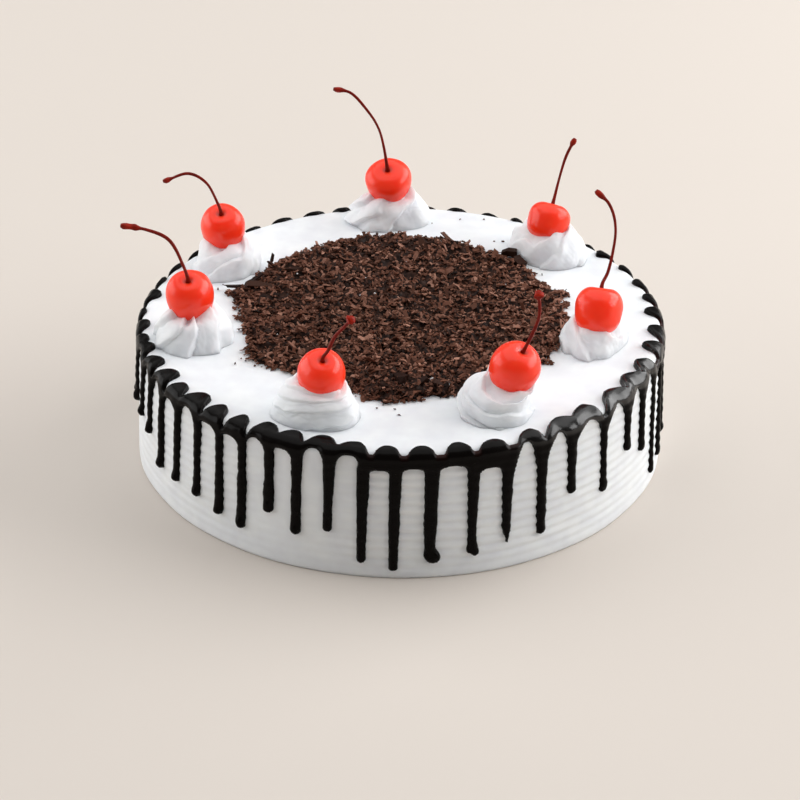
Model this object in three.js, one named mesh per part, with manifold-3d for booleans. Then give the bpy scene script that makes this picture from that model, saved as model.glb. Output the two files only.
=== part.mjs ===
// A round black forest cake: whipped cream combed round the side, dark chocolate
// shavings on top, a piped ganache rim that runs down in drips, and seven swirls of
// cream that each hold a glazed cherry by its foot.
// Millimetres, +Z up. The origin is the middle of the flat base and -Y is the front.

import * as THREE from 'three';
import { mergeVertices } from 'three/addons/utils/BufferGeometryUtils.js';
import Module from 'manifold-3d';

const wasm = await Module();
wasm.setup();

// The iced cake
const cakeHeight = 56.6;
const footRadius = 110; // on the crest of a comb ridge, at the foot
const rimRadius = 108.6; // the side leans in a little towards the top
const edgeRound = 2.6; // rounding of the top edge
const combPitch = 4.1;
const combDepth = 0.8;
const combCount = 13;
const firstCrest = 2.2; // height of the lowest comb ridge
const cakeSides = 48;
const gap = 0.3; // air left between two pieces that touch

// The ganache
const dripCount = 49;
const dripWidth = 4.6;
const dripThickness = 1.7;
const dripSpread = 6.4; // a drip narrows to its width this far below the top
const rimThickness = 1.9;
const petalDepth = 7.5; // from the rim inwards
const petalThickness = 2.2;
const valleyDepth = 2.2; // what is left between two petals
const petalLean = 32; // degrees, the most that a petal's tip swings sideways

// The shavings
const patchRadius = 70;
const patchShift = 5; // the patch lies this far behind the middle
const patchThickness = 3.4;
const flakeCount = 56;

// The cherries
const cherrySides = 12;
const stemRadius = 0.75;
const stemSides = 5;

const colours = {
  cream: { color: 0xf6f4f1, roughness: 0.45, metalness: 0 },
  ganache: { color: 0x1b1412, roughness: 0.22, metalness: 0 },
  shavings: { color: 0x3a2620, roughness: 0.75, metalness: 0 },
  cherry: { color: 0xe8342c, roughness: 0.25, metalness: 0 },
  stem: { color: 0x7c1a16, roughness: 0.5, metalness: 0 },
};

// The drips that run down the front: azimuth in degrees, height of the foot, and how far
// below the top the rim ends in the gap to the drip's right. The other drips fill the back
// evenly, with lengths drawn at random.
const frontDrips = [
  [-166, 26, 2.6], [-159, 23, 2.6], [-152, 14, 3.2], [-145.3, 15.5, 1.2], [-138, 15.5, 2.4],
  [-131.5, 12.7, 2.7], [-125, 10.8, 1.6], [-118.4, 22.7, 2.4], [-112.1, 16, 1.3],
  [-105, 19.9, 1.6], [-98, 7.3, 6.8], [-91.2, 3.7, 5.8], [-83.6, 7.7, 5.1], [-75, 8.6, 8.2],
  [-67.5, 13, 1.3], [-59.1, 12.7, 1.3], [-51.8, 26.5, 1.2], [-42.4, 18.6, 1.2],
  [-33.8, 29.6, 1.4], [-26.3, 22.7, 1.6], [-19.2, 11, 2], [-12.3, 14.5, 2], [-5, 21, 2],
];

// Each swirl: where its middle stands, how far it reaches round and towards the rim,
// and its height. Each cherry: its middle over the cream, its radius, the way it tips
// as a direction and an angle in degrees, and the run of its stem from the cherry's
// middle, as steps to the right, to the back and up.
const toppings = [
  {
    swirl: { x: -6.5, y: 94.5, across: 17, deep: 12.3, height: 13.5 },
    cherry: { x: -6, y: 97, lift: 19.2, radius: 10.2, tipTo: -100, tip: 24 },
    stem: [[-3.8, 1, 22.5], [-9.6, 4, 31.5], [-16.5, 7, 38.2], [-24.3, 8, 39.6]],
  },
  {
    swirl: { x: -75.5, y: 50.5, across: 16.2, deep: 14.5, height: 14.5 },
    cherry: { x: -76.6, y: 51.5, lift: 18.6, radius: 9.6, tipTo: -100, tip: 22 },
    stem: [[-1.9, -2.4, 12.4], [-6.6, 0.5, 20.2], [-14, 3.5, 23.2], [-25.4, 5, 18.8]],
  },
  {
    swirl: { x: -86, y: -12.7, across: 17.2, deep: 15.2, height: 15 },
    cherry: { x: -87.2, y: -12.7, lift: 19.6, radius: 10, tipTo: -95, tip: 22 },
    stem: [[-2.2, -1.8, 14.6], [-8, 1, 24.8], [-16.8, 3, 28.2], [-27.8, 4.5, 29.4]],
  },
  {
    swirl: { x: -31.6, y: -75.8, across: 18.3, deep: 16.8, height: 14.5 },
    cherry: { x: -31.4, y: -75.8, lift: 18.4, radius: 9.7, tipTo: -80, tip: 24 },
    stem: [[2.4, -4.6, 12.2], [5.6, -6.4, 19.8], [12.6, -8.5, 29.6]],
  },
  {
    swirl: { x: 39.6, y: -71.7, across: 17.6, deep: 16, height: 14.5 },
    cherry: { x: 45, y: -71.7, lift: 19.4, radius: 10.1, tipTo: -35, tip: 24 },
    stem: [[5.2, -3.5, 14.2], [8.4, -5.2, 24.2], [8.3, -6.5, 37.2]],
  },
  {
    swirl: { x: 80, y: -16.4, across: 16.8, deep: 16, height: 12.5 },
    cherry: { x: 81.2, y: -16.4, lift: 15.6, radius: 10, tipTo: 75, tip: 30 },
    stem: [[3.8, 8.5, 13], [6.4, 12.5, 29.4], [3.8, 16.5, 39.8], [-1.9, 19, 44.6]],
  },
  {
    swirl: { x: 63, y: 63.5, across: 18, deep: 14.3, height: 13 },
    cherry: { x: 63.6, y: 64.5, lift: 16, radius: 9.2, tipTo: 80, tip: 30 },
    stem: [[3.9, 7.2, 14], [6.2, 8.4, 22.8], [10.5, 10, 33.6]],
  },
];

const radians = THREE.MathUtils.degToRad;
const onCircle = (radius, degrees, z) => new THREE.Vector3(
  radius * Math.cos(radians(degrees)),
  radius * Math.sin(radians(degrees)),
  z,
);

// Even draws between two numbers, the same on every run.
function seededDraws(seed) {
  let state = seed;
  return (low, high) => {
    state = (state * 1664525 + 1013904223) % 4294967296;
    return low + (high - low) * (state / 4294967296);
  };
}

// ---- Closed solids from rings of points ----

function facesGeometry(points, faces) {
  const geometry = new THREE.BufferGeometry();
  const flat = points.flatMap((point) => [point.x, point.y, point.z]);
  geometry.setAttribute('position', new THREE.Float32BufferAttribute(flat, 3));
  geometry.setIndex(faces.flat());
  return geometry;
}

function joinRings(faces, low, high, count) {
  for (let i = 0; i < count; i += 1) {
    const next = (i + 1) % count;
    faces.push([low + i, low + next, high + next]);
    faces.push([low + i, high + next, high + i]);
  }
}

// A stack of rings, each counter-clockwise seen from the last one, closed at both ends
// by a fan round the ring's middle or round a given tip.
function stackedRings(rings, firstTip, lastTip) {
  const count = rings[0].length;
  const points = rings.flat();
  const faces = [];
  for (let row = 0; row + 1 < rings.length; row += 1) {
    joinRings(faces, row * count, (row + 1) * count, count);
  }
  const closeEnd = (ring, start, tip, flip) => {
    const middle = new THREE.Vector3();
    ring.forEach((point) => middle.addScaledVector(point, 1 / count));
    points.push(tip ?? middle);
    const centre = points.length - 1;
    for (let i = 0; i < count; i += 1) {
      const edge = [start + i, start + ((i + 1) % count)];
      faces.push(flip ? [edge[1], edge[0], centre] : [edge[0], edge[1], centre]);
    }
  };
  closeEnd(rings[0], 0, firstTip, true);
  closeEnd(rings.at(-1), (rings.length - 1) * count, lastTip, false);
  return facesGeometry(points, faces);
}

// Sections that follow one another round the cake and close on themselves.
function loopedSections(sections) {
  const count = sections[0].length;
  const faces = [];
  sections.forEach((section, index) => {
    const next = ((index + 1) % sections.length) * count;
    joinRings(faces, index * count, next, count);
  });
  return facesGeometry(sections.flat(), faces);
}

// A shape turned round the Z axis from [radius, z] pairs that start and end on the axis.
function turned(profile, sides) {
  const points = profile.map(([radius, z]) => new THREE.Vector2(radius, z));
  return new THREE.LatheGeometry(points, sides).rotateX(Math.PI / 2);
}

// ---- Joining and cutting ----

function toSolid(geometry) {
  const bare = geometry.clone();
  bare.deleteAttribute('normal');
  bare.deleteAttribute('uv');
  const merged = mergeVertices(bare, 1e-4);
  const index = Array.from(merged.index.array);
  const kept = [];
  for (let i = 0; i < index.length; i += 3) {
    const [a, b, c] = index.slice(i, i + 3);
    if (a !== b && b !== c && c !== a) kept.push(a, b, c);
  }
  return new wasm.Manifold(new wasm.Mesh({
    numProp: 3,
    vertProperties: new Float32Array(merged.attributes.position.array),
    triVerts: new Uint32Array(kept),
  }));
}

function fromSolid(solid) {
  const mesh = solid.getMesh();
  const geometry = new THREE.BufferGeometry();
  const positions = Array.from(mesh.vertProperties);
  geometry.setAttribute('position', new THREE.Float32BufferAttribute(positions, 3));
  geometry.setIndex(Array.from(mesh.triVerts));
  return geometry;
}

const joined = (geometries) => geometries.map(toSolid).reduce((sum, piece) => sum.add(piece));

const cutBy = (solid, geometries) => geometries.map(toSolid)
  .reduce((rest, piece) => rest.subtract(piece), solid);

// ---- The iced cake ----

const sideRadius = (z) => footRadius + ((rimRadius - footRadius) * z) / cakeHeight;

// The rounded top edge, set out by an offset from the cream.
function roundedEdge(offset) {
  const middle = [rimRadius - edgeRound, cakeHeight - edgeRound];
  return [0, 30, 60, 90].map((angle) => [
    middle[0] + (edgeRound + offset) * Math.cos(radians(angle)),
    middle[1] + (edgeRound + offset) * Math.sin(radians(angle)),
  ]);
}

function cakeGeometry() {
  const profile = [[0, 0], [footRadius - combDepth / 2, 0]];
  for (let ridge = 0; ridge < combCount; ridge += 1) {
    const crest = firstCrest + ridge * combPitch;
    const groove = crest + combPitch / 2;
    profile.push([sideRadius(crest), crest]);
    profile.push([sideRadius(groove) - combDepth, groove]);
  }
  profile.push(...roundedEdge(0), [0, cakeHeight]);
  return turned(profile, cakeSides);
}

// ---- The ganache ----

function allDrips() {
  const draw = seededDraws(11);
  const first = frontDrips.at(-1)[0];
  const last = frontDrips[0][0] + 360;
  const backCount = dripCount - frontDrips.length;
  const pitch = (last - first) / (backCount + 1);
  const backDrips = Array.from({ length: backCount }, (unused, i) => [
    first + (i + 1) * pitch + draw(-0.5, 0.5),
    draw(8, 28),
    draw(1.3, 3),
  ]);
  return [...frontDrips, ...backDrips].map(([azimuth, foot, arch]) => ({ azimuth, foot, arch }));
}

const degreesOf = (length, radius) => THREE.MathUtils.radToDeg(length / radius);

// A petal starts behind its drip, and its tip swings towards the front or the back.
const petalAzimuth = (azimuth) => azimuth - 1.7 + 1.5 * Math.cos(radians(azimuth));
const petalSwing = (azimuth) => Math.tan(radians(petalLean * Math.sin(radians(2 * azimuth))));

// A swirl of cream that reaches over the petals hides the one next to it.
function isUnderSwirl(drip) {
  const tip = onCircle(footRadius - petalDepth, petalAzimuth(drip.azimuth), cakeHeight);
  return toppings.some(({ swirl }) => {
    const away = Math.hypot(tip.x - swirl.x, tip.y - swirl.y);
    const reach = Math.hypot(swirl.x, swirl.y) + swirl.deep;
    return away < swirl.across + 1.5 && reach > footRadius - petalDepth - 0.6;
  });
}

// The lines down one petal and its drip. Each has its place along the drip's width at the
// rim, the neck and the foot, its share of the petal's depth, width and thickness, its
// share of the drip's thickness, and whether it runs on down the drip.
const dripLines = [
  { rim: -4.4, neck: -3, deep: 0.6, wide: -0.72, thick: 0.75, out: 0.2, runs: false },
  { rim: -2.9, neck: -2.3, deep: 0.93, wide: -0.36, thick: 0.95, out: 0.55, runs: true },
  { rim: 0, neck: 0, deep: 1, wide: 0, thick: 1, out: 1, runs: true },
  { rim: 2.9, neck: 2.3, deep: 0.93, wide: 0.36, thick: 0.95, out: 0.55, runs: true },
  { rim: 4.4, neck: 3, deep: 0.6, wide: 0.72, thick: 0.75, out: 0.2, runs: false },
];

// One section through the ganache, from the petal's inner edge over the rim, down to the
// foot, and back up against the cream.
function ganacheSection(line) {
  const inner = footRadius - line.depth;
  const floor = cakeHeight + gap;
  const crest = (inner + rimRadius) / 2;
  const bead = line.runs ? dripWidth / 2 : 0.5;
  const neck = Math.max(line.foot + bead + 0.3, cakeHeight - dripSpread);
  const onSide = (azimuth, z, out) => onCircle(sideRadius(z) + gap + out, azimuth, z);
  return [
    onCircle(inner, line.innerAzimuth, floor),
    onCircle(crest, line.crestAzimuth, floor + line.height),
    onSide(line.rimAzimuth, cakeHeight - 0.7, rimThickness * line.rimShare),
    onSide(line.neckAzimuth, neck, line.out),
    onSide(line.footAzimuth, line.foot + bead, line.out * (line.runs ? 1.15 : 1)),
    onSide(line.tipAzimuth, line.foot, line.out * 0.4),
    onSide(line.tipAzimuth, line.foot + 0.2, 0),
    onCircle(sideRadius(cakeHeight) + gap, line.rimAzimuth, floor),
  ];
}

// The lines of one petal and drip, between the valleys before and after it.
function petalLines(drip, before, after) {
  const root = petalAzimuth(drip.azimuth);
  const swing = petalSwing(root);
  const depth = isUnderSwirl(drip) ? valleyDepth : petalDepth;
  const sideAt = (along) => drip.azimuth + degreesOf(along, footRadius);
  return dripLines.map((line) => {
    const own = valleyDepth + (depth - valleyDepth) * line.deep;
    const valley = line.wide < 0 ? before : after;
    const width = Math.abs(valley.azimuth - root) * line.wide;
    const shoulder = cakeHeight - Math.max(dripSpread, valley.arch + 3);
    const lean = degreesOf(swing * (own - valleyDepth), footRadius);
    return {
      depth: own,
      height: petalThickness * line.thick,
      innerAzimuth: root + width + lean * 0.75,
      crestAzimuth: root + width + lean * 0.25,
      rimAzimuth: sideAt(line.rim),
      rimShare: 0.6 + 0.4 * line.thick,
      neckAzimuth: sideAt(line.neck),
      footAzimuth: sideAt(line.neck),
      tipAzimuth: sideAt(line.neck * (line.runs ? 0.45 : 1)),
      foot: line.runs ? drip.foot + (line.rim === 0 ? 0 : 0.7) : shoulder,
      out: dripThickness * line.out,
      runs: line.runs,
    };
  });
}

// The line down the gap between two drips, where only the rim is left.
function valleyLine(drip, next, valley) {
  const azimuth = (drip.azimuth + next.azimuth) / 2;
  return {
    depth: valleyDepth,
    height: petalThickness * 0.5,
    innerAzimuth: valley.azimuth,
    crestAzimuth: valley.azimuth,
    rimAzimuth: azimuth,
    rimShare: 0.75,
    neckAzimuth: azimuth,
    footAzimuth: azimuth,
    tipAzimuth: azimuth,
    foot: cakeHeight - valley.arch - 0.8,
    out: dripThickness * 0.6,
    runs: false,
  };
}

function ganacheGeometry() {
  const drips = allDrips();
  const turnsOn = (index) => 360 * Math.floor(index / drips.length);
  const at = (index) => {
    const drip = drips[(index + drips.length) % drips.length];
    return { ...drip, azimuth: drip.azimuth + turnsOn(index) };
  };
  const valley = (index) => {
    const roots = [at(index - 1), at(index)].map((drip) => petalAzimuth(drip.azimuth));
    return { azimuth: (roots[0] + roots[1]) / 2, arch: at(index - 1).arch };
  };
  const lines = drips.flatMap((drip, index) => [
    ...petalLines(drip, valley(index), valley(index + 1)),
    valleyLine(drip, at(index + 1), valley(index + 1)),
  ]);
  return loopedSections(lines.map((line) => ganacheSection(line)));
}

// ---- The swirls of cream ----

// A swirl's own directions: round the cake, and out towards its rim.
function swirlPoint(swirl, along, outwards, z) {
  const azimuth = Math.atan2(swirl.y, swirl.x);
  return new THREE.Vector3(
    swirl.x + outwards * Math.cos(azimuth) - along * Math.sin(azimuth),
    swirl.y + outwards * Math.sin(azimuth) + along * Math.cos(azimuth),
    z,
  );
}

// Folds of a star nozzle that wind round as they climb, and turn in to the middle.
function swirlGeometry(swirl, index) {
  const folds = 8;
  const columns = folds * 2;
  const rows = [
    { reach: 0.9, rise: 0, fold: 0.05 },
    { reach: 1, rise: 0.22, fold: 0.06 },
    { reach: 0.93, rise: 0.52, fold: 0.09 },
    { reach: 0.76, rise: 0.86, fold: 0.1 },
    { reach: 0.46, rise: 1, fold: 0.12 },
  ];
  const floor = cakeHeight + gap;
  const rings = rows.map((row, level) => Array.from({ length: columns }, (unused, i) => {
    const angle = ((i + level * 0.7 + index * 0.3) / columns) * 2 * Math.PI;
    const reach = row.reach * (1 + (i % 2 ? row.fold : -row.fold)) / (1 + rows[1].fold);
    const sag = 1 + 0.05 * Math.sin(angle + index * 2) * row.rise;
    return swirlPoint(
      swirl,
      swirl.across * reach * Math.cos(angle),
      swirl.deep * reach * Math.sin(angle),
      floor + swirl.height * row.rise * sag * (i % 2 ? 1 : 1 - row.fold * 0.8),
    );
  }).reverse());
  const middle = swirlPoint(swirl, 0, 0, floor + swirl.height * 0.8);
  return stackedRings(rings, undefined, middle);
}

// The room that a cherry, or a swirl, takes up with the gap round it.
function cherryClearance(cherry) {
  return new THREE.SphereGeometry(cherry.radius + gap + 0.3, 10, 8).rotateX(Math.PI / 2)
    .translate(cherry.x, cherry.y, cakeHeight + cherry.lift);
}

function swirlClearance(swirl) {
  const sides = 20;
  const room = gap + 0.4;
  const ringAt = (z) => Array.from({ length: sides }, (unused, i) => {
    const angle = (i / sides) * 2 * Math.PI;
    const along = (swirl.across + room) * Math.cos(angle);
    return swirlPoint(swirl, along, (swirl.deep + room) * Math.sin(angle), z);
  }).reverse();
  return stackedRings([ringAt(cakeHeight - 1), ringAt(cakeHeight + swirl.height)]);
}

// ---- The shavings ----

// The ragged outline of the patch.
const patchReach = (angle) => patchRadius + 2.2 * Math.sin(3 * angle + 0.6)
  + 1.6 * Math.sin(7 * angle + 2.1) + 1.3 * Math.sin(12 * angle + 4);

function patchPoint(angle, share, z) {
  const reach = patchReach(angle) * share;
  return new THREE.Vector3(reach * Math.cos(angle), patchShift + reach * Math.sin(angle), z);
}

function patchCore() {
  const draw = seededDraws(5);
  const columns = 44;
  const floor = cakeHeight + gap;
  const rings = [[1, 0, 0], [0.985, 1.5, 0.4], [0.9, 2.5, 0.5], [0.68, 2.8, 0.5], [0.4, 3, 0.5]]
    .map(([share, rise, rough]) => Array.from({ length: columns }, (unused, i) => {
      const angle = (i / columns) * 2 * Math.PI;
      return patchPoint(angle, share, floor + rise + draw(-rough, rough));
    }));
  return stackedRings(rings, undefined, new THREE.Vector3(0, patchShift, floor + 3));
}

// Thin chips: half of them hang out over the ragged edge, the others lie on top. None
// lies where a swirl of cream stands.
function flakeGeometries() {
  const draw = seededDraws(23);
  const floor = cakeHeight + gap;
  const goldenAngle = Math.PI * (3 - Math.sqrt(5));
  const flakes = Array.from({ length: flakeCount }, (unused, i) => {
    const onEdge = i % 2 === 0;
    const share = onEdge ? draw(0.95, 0.99) : Math.sqrt((i + 0.5) / flakeCount) * 0.92;
    const size = [draw(4, 7), draw(2.6, 4), draw(0.8, 1.1)];
    const flake = new THREE.BoxGeometry(...size);
    flake.rotateX(radians(draw(-28, 28)));
    flake.rotateY(radians(draw(-22, 22)));
    flake.rotateZ(radians(draw(0, 180)));
    const centre = patchPoint(i * goldenAngle, share, floor + (onEdge ? 1.3 : patchThickness - 0.5));
    return { centre, geometry: flake.translate(centre.x, centre.y, centre.z) };
  });
  const clearOfSwirls = ({ centre }) => toppings.every(({ swirl }) => (
    Math.hypot(centre.x - swirl.x, centre.y - swirl.y) > Math.max(swirl.across, swirl.deep) + 4
  ));
  return flakes.filter(clearOfSwirls).map(({ geometry }) => geometry);
}

function shavingsGeometry() {
  const solid = joined([patchCore(), ...flakeGeometries()]);
  return fromSolid(cutBy(solid, toppings.map(({ swirl }) => swirlClearance(swirl))));
}

// ---- The cherries and their stems ----

function tipAxis(cherry) {
  const angle = radians(cherry.tip);
  return onCircle(Math.sin(angle), cherry.tipTo, Math.cos(angle));
}

const cherryMiddle = (cherry) => new THREE.Vector3(cherry.x, cherry.y, cakeHeight + cherry.lift);

// A cherry is a little flat, with a dimple where the stem comes out.
function cherryGeometry(cherry) {
  const outline = [
    [0, -0.97], [0.5, -0.87], [0.86, -0.52], [1, 0], [0.93, 0.48],
    [0.66, 0.8], [0.4, 0.9], [0.2, 0.84], [0, 0.74],
  ];
  const profile = outline.map(([across, up]) => [across * cherry.radius, up * cherry.radius]);
  const upright = new THREE.Vector3(0, 0, 1);
  const turn = new THREE.Quaternion().setFromUnitVectors(upright, tipAxis(cherry));
  return turned(profile, cherrySides).applyQuaternion(turn).translate(...cherryMiddle(cherry));
}

// A stem stands in the dimple, thins out, and ends in the knob where it was picked.
function stemGeometry({ cherry, stem }) {
  const middle = cherryMiddle(cherry);
  const axis = tipAxis(cherry);
  const along = (share) => axis.clone().multiplyScalar(cherry.radius * share);
  const root = along(0.74 + (gap + 0.25) / cherry.radius);
  const route = [root, along(1.15), ...stem.map((step) => new THREE.Vector3(...step))]
    .map((point) => point.add(middle));
  const curve = new THREE.CatmullRomCurve3(route, false, 'centripetal');
  const steps = 9;
  const thickness = (share) => {
    const foot = 0.35 * Math.max(0, 1 - share * 8);
    const knob = 1.1 * THREE.MathUtils.smoothstep(share, 0.88, 0.97);
    return stemRadius * (1 + foot + knob);
  };
  const frames = curve.computeFrenetFrames(steps, false);
  const rings = Array.from({ length: steps + 1 }, (unused, i) => {
    const share = i / steps;
    const centre = curve.getPointAt(share);
    return Array.from({ length: stemSides }, (none, side) => {
      const angle = (side / stemSides) * 2 * Math.PI;
      return centre.clone()
        .addScaledVector(frames.normals[i], thickness(share) * Math.cos(angle))
        .addScaledVector(frames.binormals[i], thickness(share) * Math.sin(angle));
    });
  });
  return stackedRings(rings);
}

// ---- The whole cake ----

const cake = new THREE.Group();

function addPiece(name, geometry, finish) {
  geometry.computeVertexNormals();
  const mesh = new THREE.Mesh(geometry, new THREE.MeshStandardMaterial(finish));
  mesh.name = name;
  cake.add(mesh);
}

addPiece('cake_body', cakeGeometry(), colours.cream);
addPiece('ganache_drip', ganacheGeometry(), colours.ganache);
addPiece('chocolate_shavings', shavingsGeometry(), colours.shavings);
toppings.forEach((topping, index) => {
  const number = index + 1;
  const swirl = cutBy(toSolid(swirlGeometry(topping.swirl, index)), [cherryClearance(topping.cherry)]);
  addPiece(`rosette_${number}`, fromSolid(swirl), colours.cream);
  addPiece(`cherry_${number}`, cherryGeometry(topping.cherry), colours.cherry);
  addPiece(`cherry_stem_${number}`, stemGeometry(topping), colours.stem);
});

export default cake;
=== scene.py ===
import bpy
import math
import numpy as np
from mathutils import Matrix, Vector
from types import SimpleNamespace


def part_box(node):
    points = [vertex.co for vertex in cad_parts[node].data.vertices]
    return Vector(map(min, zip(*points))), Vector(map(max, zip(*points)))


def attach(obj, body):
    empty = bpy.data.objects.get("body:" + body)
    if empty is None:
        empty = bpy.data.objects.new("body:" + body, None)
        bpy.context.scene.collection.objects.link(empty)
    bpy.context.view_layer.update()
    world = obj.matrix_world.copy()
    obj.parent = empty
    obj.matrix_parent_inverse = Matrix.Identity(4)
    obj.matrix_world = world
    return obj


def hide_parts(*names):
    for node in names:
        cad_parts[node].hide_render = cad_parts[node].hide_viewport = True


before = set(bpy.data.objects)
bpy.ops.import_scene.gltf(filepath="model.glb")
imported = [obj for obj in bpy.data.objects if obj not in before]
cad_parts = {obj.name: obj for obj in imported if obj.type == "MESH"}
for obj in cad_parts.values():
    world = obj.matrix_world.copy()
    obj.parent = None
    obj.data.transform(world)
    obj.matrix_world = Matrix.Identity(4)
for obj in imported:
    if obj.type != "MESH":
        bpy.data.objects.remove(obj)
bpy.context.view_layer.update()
print("frame loaded")

mm = 0.001  # every size below is in millimetres
fullTurn = 2 * math.pi


def linear(hexCode):
    parts = [int(hexCode[i:i + 2], 16) / 255 for i in (1, 3, 5)]
    return [p / 12.92 if p <= 0.04045 else ((p + 0.055) / 1.055) ** 2.4 for p in parts] + [1.0]


def smoothStep(low, high, value):
    t = np.clip((value - low) / (high - low), 0, 1)
    return t * t * (3 - 2 * t)


def bell(value, width, power=2):
    # 1 at zero, and next to nothing past the width; a higher power gives a flatter top
    return np.exp(-(value / width) ** power)


def turnFrom(angle, middle):
    # the shorter way round from the middle to the angle
    return (angle - middle + math.pi) % fullTurn - math.pi


def ripple(points, size, seed, waves=18):
    # a soft random swell with bumps of about this size, mostly from -1 to 1
    draw = np.random.default_rng(seed)
    points = np.asarray(points, float)
    turns = draw.normal(size=(waves, points.shape[-1]))
    lengths = size * draw.uniform(0.7, 1.5, waves) * np.linalg.norm(turns, axis=1)
    turns *= (fullTurn / lengths)[:, None]
    phases = draw.uniform(0, fullTurn, waves)
    return np.cos(points @ turns.T + phases).sum(-1) / math.sqrt(waves)


def roundRipple(radius, azimuth, size, seed):
    # the same kind of swell, met on the way round a circle
    return ripple(np.stack([np.cos(azimuth), np.sin(azimuth)], -1) * radius, size, seed)


def onCircle(radius, azimuth, z):
    return np.stack(np.broadcast_arrays(radius * np.cos(azimuth), radius * np.sin(azimuth), z), -1)


def tubeFaces(rows, columns):
    # triangles over rings of points, row after row; each end closes on one more point, and
    # these two come after the rings
    row, column = np.meshgrid(np.arange(rows - 1), np.arange(columns), indexing="ij")
    here = row * columns + column
    beside = row * columns + (column + 1) % columns
    quads = np.stack([here, beside, beside + columns, here + columns], -1).reshape(-1, 4)
    around = np.arange(columns)
    after = (around + 1) % columns
    last = (rows - 1) * columns
    count = rows * columns
    firstEnd = np.stack([np.full(columns, count), after, around], -1)
    lastEnd = np.stack([last + around, last + after, np.full(columns, count + 1)], -1)
    return np.vstack([quads[:, [0, 1, 2]], quads[:, [0, 2, 3]], firstEnd, lastEnd])


def makePiece(name, points, faces, material, nodes=(), marks=None, smooth=True):
    # points in millimetres; marks are one number a point that the material reads by name
    mesh = bpy.data.meshes.new(name)
    faces = np.asarray(faces, np.int32)
    sides = faces.shape[1]
    mesh.vertices.add(len(points))
    mesh.vertices.foreach_set("co", (np.asarray(points, np.float32) * mm).ravel())
    mesh.loops.add(faces.size)
    mesh.loops.foreach_set("vertex_index", faces.ravel())
    mesh.polygons.add(len(faces))
    mesh.polygons.foreach_set("loop_start", np.arange(0, faces.size, sides, dtype=np.int32))
    mesh.polygons.foreach_set("use_smooth", np.full(len(faces), smooth))
    mesh.update(calc_edges=True)
    mesh.validate()
    for mark, values in (marks or {}).items():
        layer = mesh.attributes.new(mark, "FLOAT", "POINT")
        layer.data.foreach_set("value", np.asarray(values, np.float32))
    piece = bpy.data.objects.new(name, mesh)
    bpy.context.scene.collection.objects.link(piece)
    mesh.materials.append(material)
    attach(piece, "root")
    if nodes:
        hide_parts(*nodes)


def smoothLine(corners, count, finely=24):
    # a line that bends smoothly through the corners, as count points with even steps
    corners = np.asarray(corners, float)
    ends = np.vstack([2 * corners[0] - corners[1], corners, 2 * corners[-1] - corners[-2]])
    gaps = np.sqrt(np.linalg.norm(np.diff(ends, axis=0), axis=1))
    knots = np.concatenate([[0], np.cumsum(gaps)])
    line = []
    for i in range(1, len(ends) - 2):
        lastSpan = i == len(ends) - 3
        t = np.linspace(knots[i], knots[i + 1], finely, endpoint=lastSpan)[:, None]

        def mix(a, b, ka, kb):
            return (a * (kb - t) + b * (t - ka)) / (kb - ka)

        k = knots[i - 1:i + 3]
        p = ends[i - 1:i + 3]
        a = [mix(p[j], p[j + 1], k[j], k[j + 1]) for j in range(3)]
        b = [mix(a[j], a[j + 1], k[j], k[j + 2]) for j in range(2)]
        line.append(mix(b[0], b[1], k[1], k[2]))
    line = np.vstack(line)
    along = np.concatenate([[0], np.cumsum(np.linalg.norm(np.diff(line, axis=0), axis=1))])
    steps = np.linspace(0, along[-1], count)
    return np.stack([np.interp(steps, along, line[:, axis]) for axis in range(3)], -1)


def sweep(line, radii):
    # a closed tube along a line; radii holds its radius at each step and angle
    steps, sides = radii.shape
    ahead = np.gradient(line, axis=0)
    ahead /= np.linalg.norm(ahead, axis=1, keepdims=True)
    across = np.empty_like(ahead)
    side = np.cross(ahead[0], (0, 0, 1))
    for i in range(steps):
        side = side - ahead[i] * (side @ ahead[i])
        side /= np.linalg.norm(side)
        across[i] = side
    over = np.cross(across, ahead)
    angle = np.linspace(0, fullTurn, sides, endpoint=False)[None, :, None]
    ring = across[:, None] * np.cos(angle) + over[:, None] * np.sin(angle)
    points = (line[:, None] + ring * radii[..., None]).reshape(-1, 3)
    return np.vstack([points, line[:1], line[-1:]]), tubeFaces(steps, sides)[:, ::-1]


def addNode(tree, kind, settings=None, links=None):
    node = tree.nodes.new("ShaderNode" + kind)
    for key, value in (settings or {}).items():
        if key == "stops":
            ramp = node.color_ramp
            while len(ramp.elements) < len(value):
                ramp.elements.new(1.0)
            for stop, (place, shade) in zip(ramp.elements, value):
                stop.position = place
                stop.color = shade
        elif isinstance(key, int) or key in node.inputs:
            node.inputs[key].default_value = value
        else:
            setattr(node, key, value)
    for key, source in (links or {}).items():
        tree.links.new(source, node.inputs[key])
    return node


def makeMaterial(name, look, paint, more=None):
    # The look's patterns are noise of a size in mm and a detail, and the last of them also
    # roughens the skin. paint adds what colours it and says what the shader takes from that.
    material = bpy.data.materials.new(name)
    material.use_nodes = True
    tree = material.node_tree
    tree.nodes.clear()
    place = addNode(tree, "TexCoord").outputs["Object"]
    patterns = [
        addNode(tree, "TexNoise", {"Scale": 1 / (size * mm), "Detail": detail}, {"Vector": place})
        for size, detail in look["patterns"]
    ]
    shades = [pattern.outputs["Fac"] for pattern in patterns]
    links = paint(tree, *shades)
    links["Normal"] = addNode(tree, "Bump", look["bumps"], {"Height": shades[-1]}).outputs["Normal"]
    shader = addNode(tree, "BsdfPrincipled", {**look["shader"], **(more or {})}, links)
    addNode(tree, "OutputMaterial", links={"Surface": shader.outputs["BSDF"]})
    return material


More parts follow.
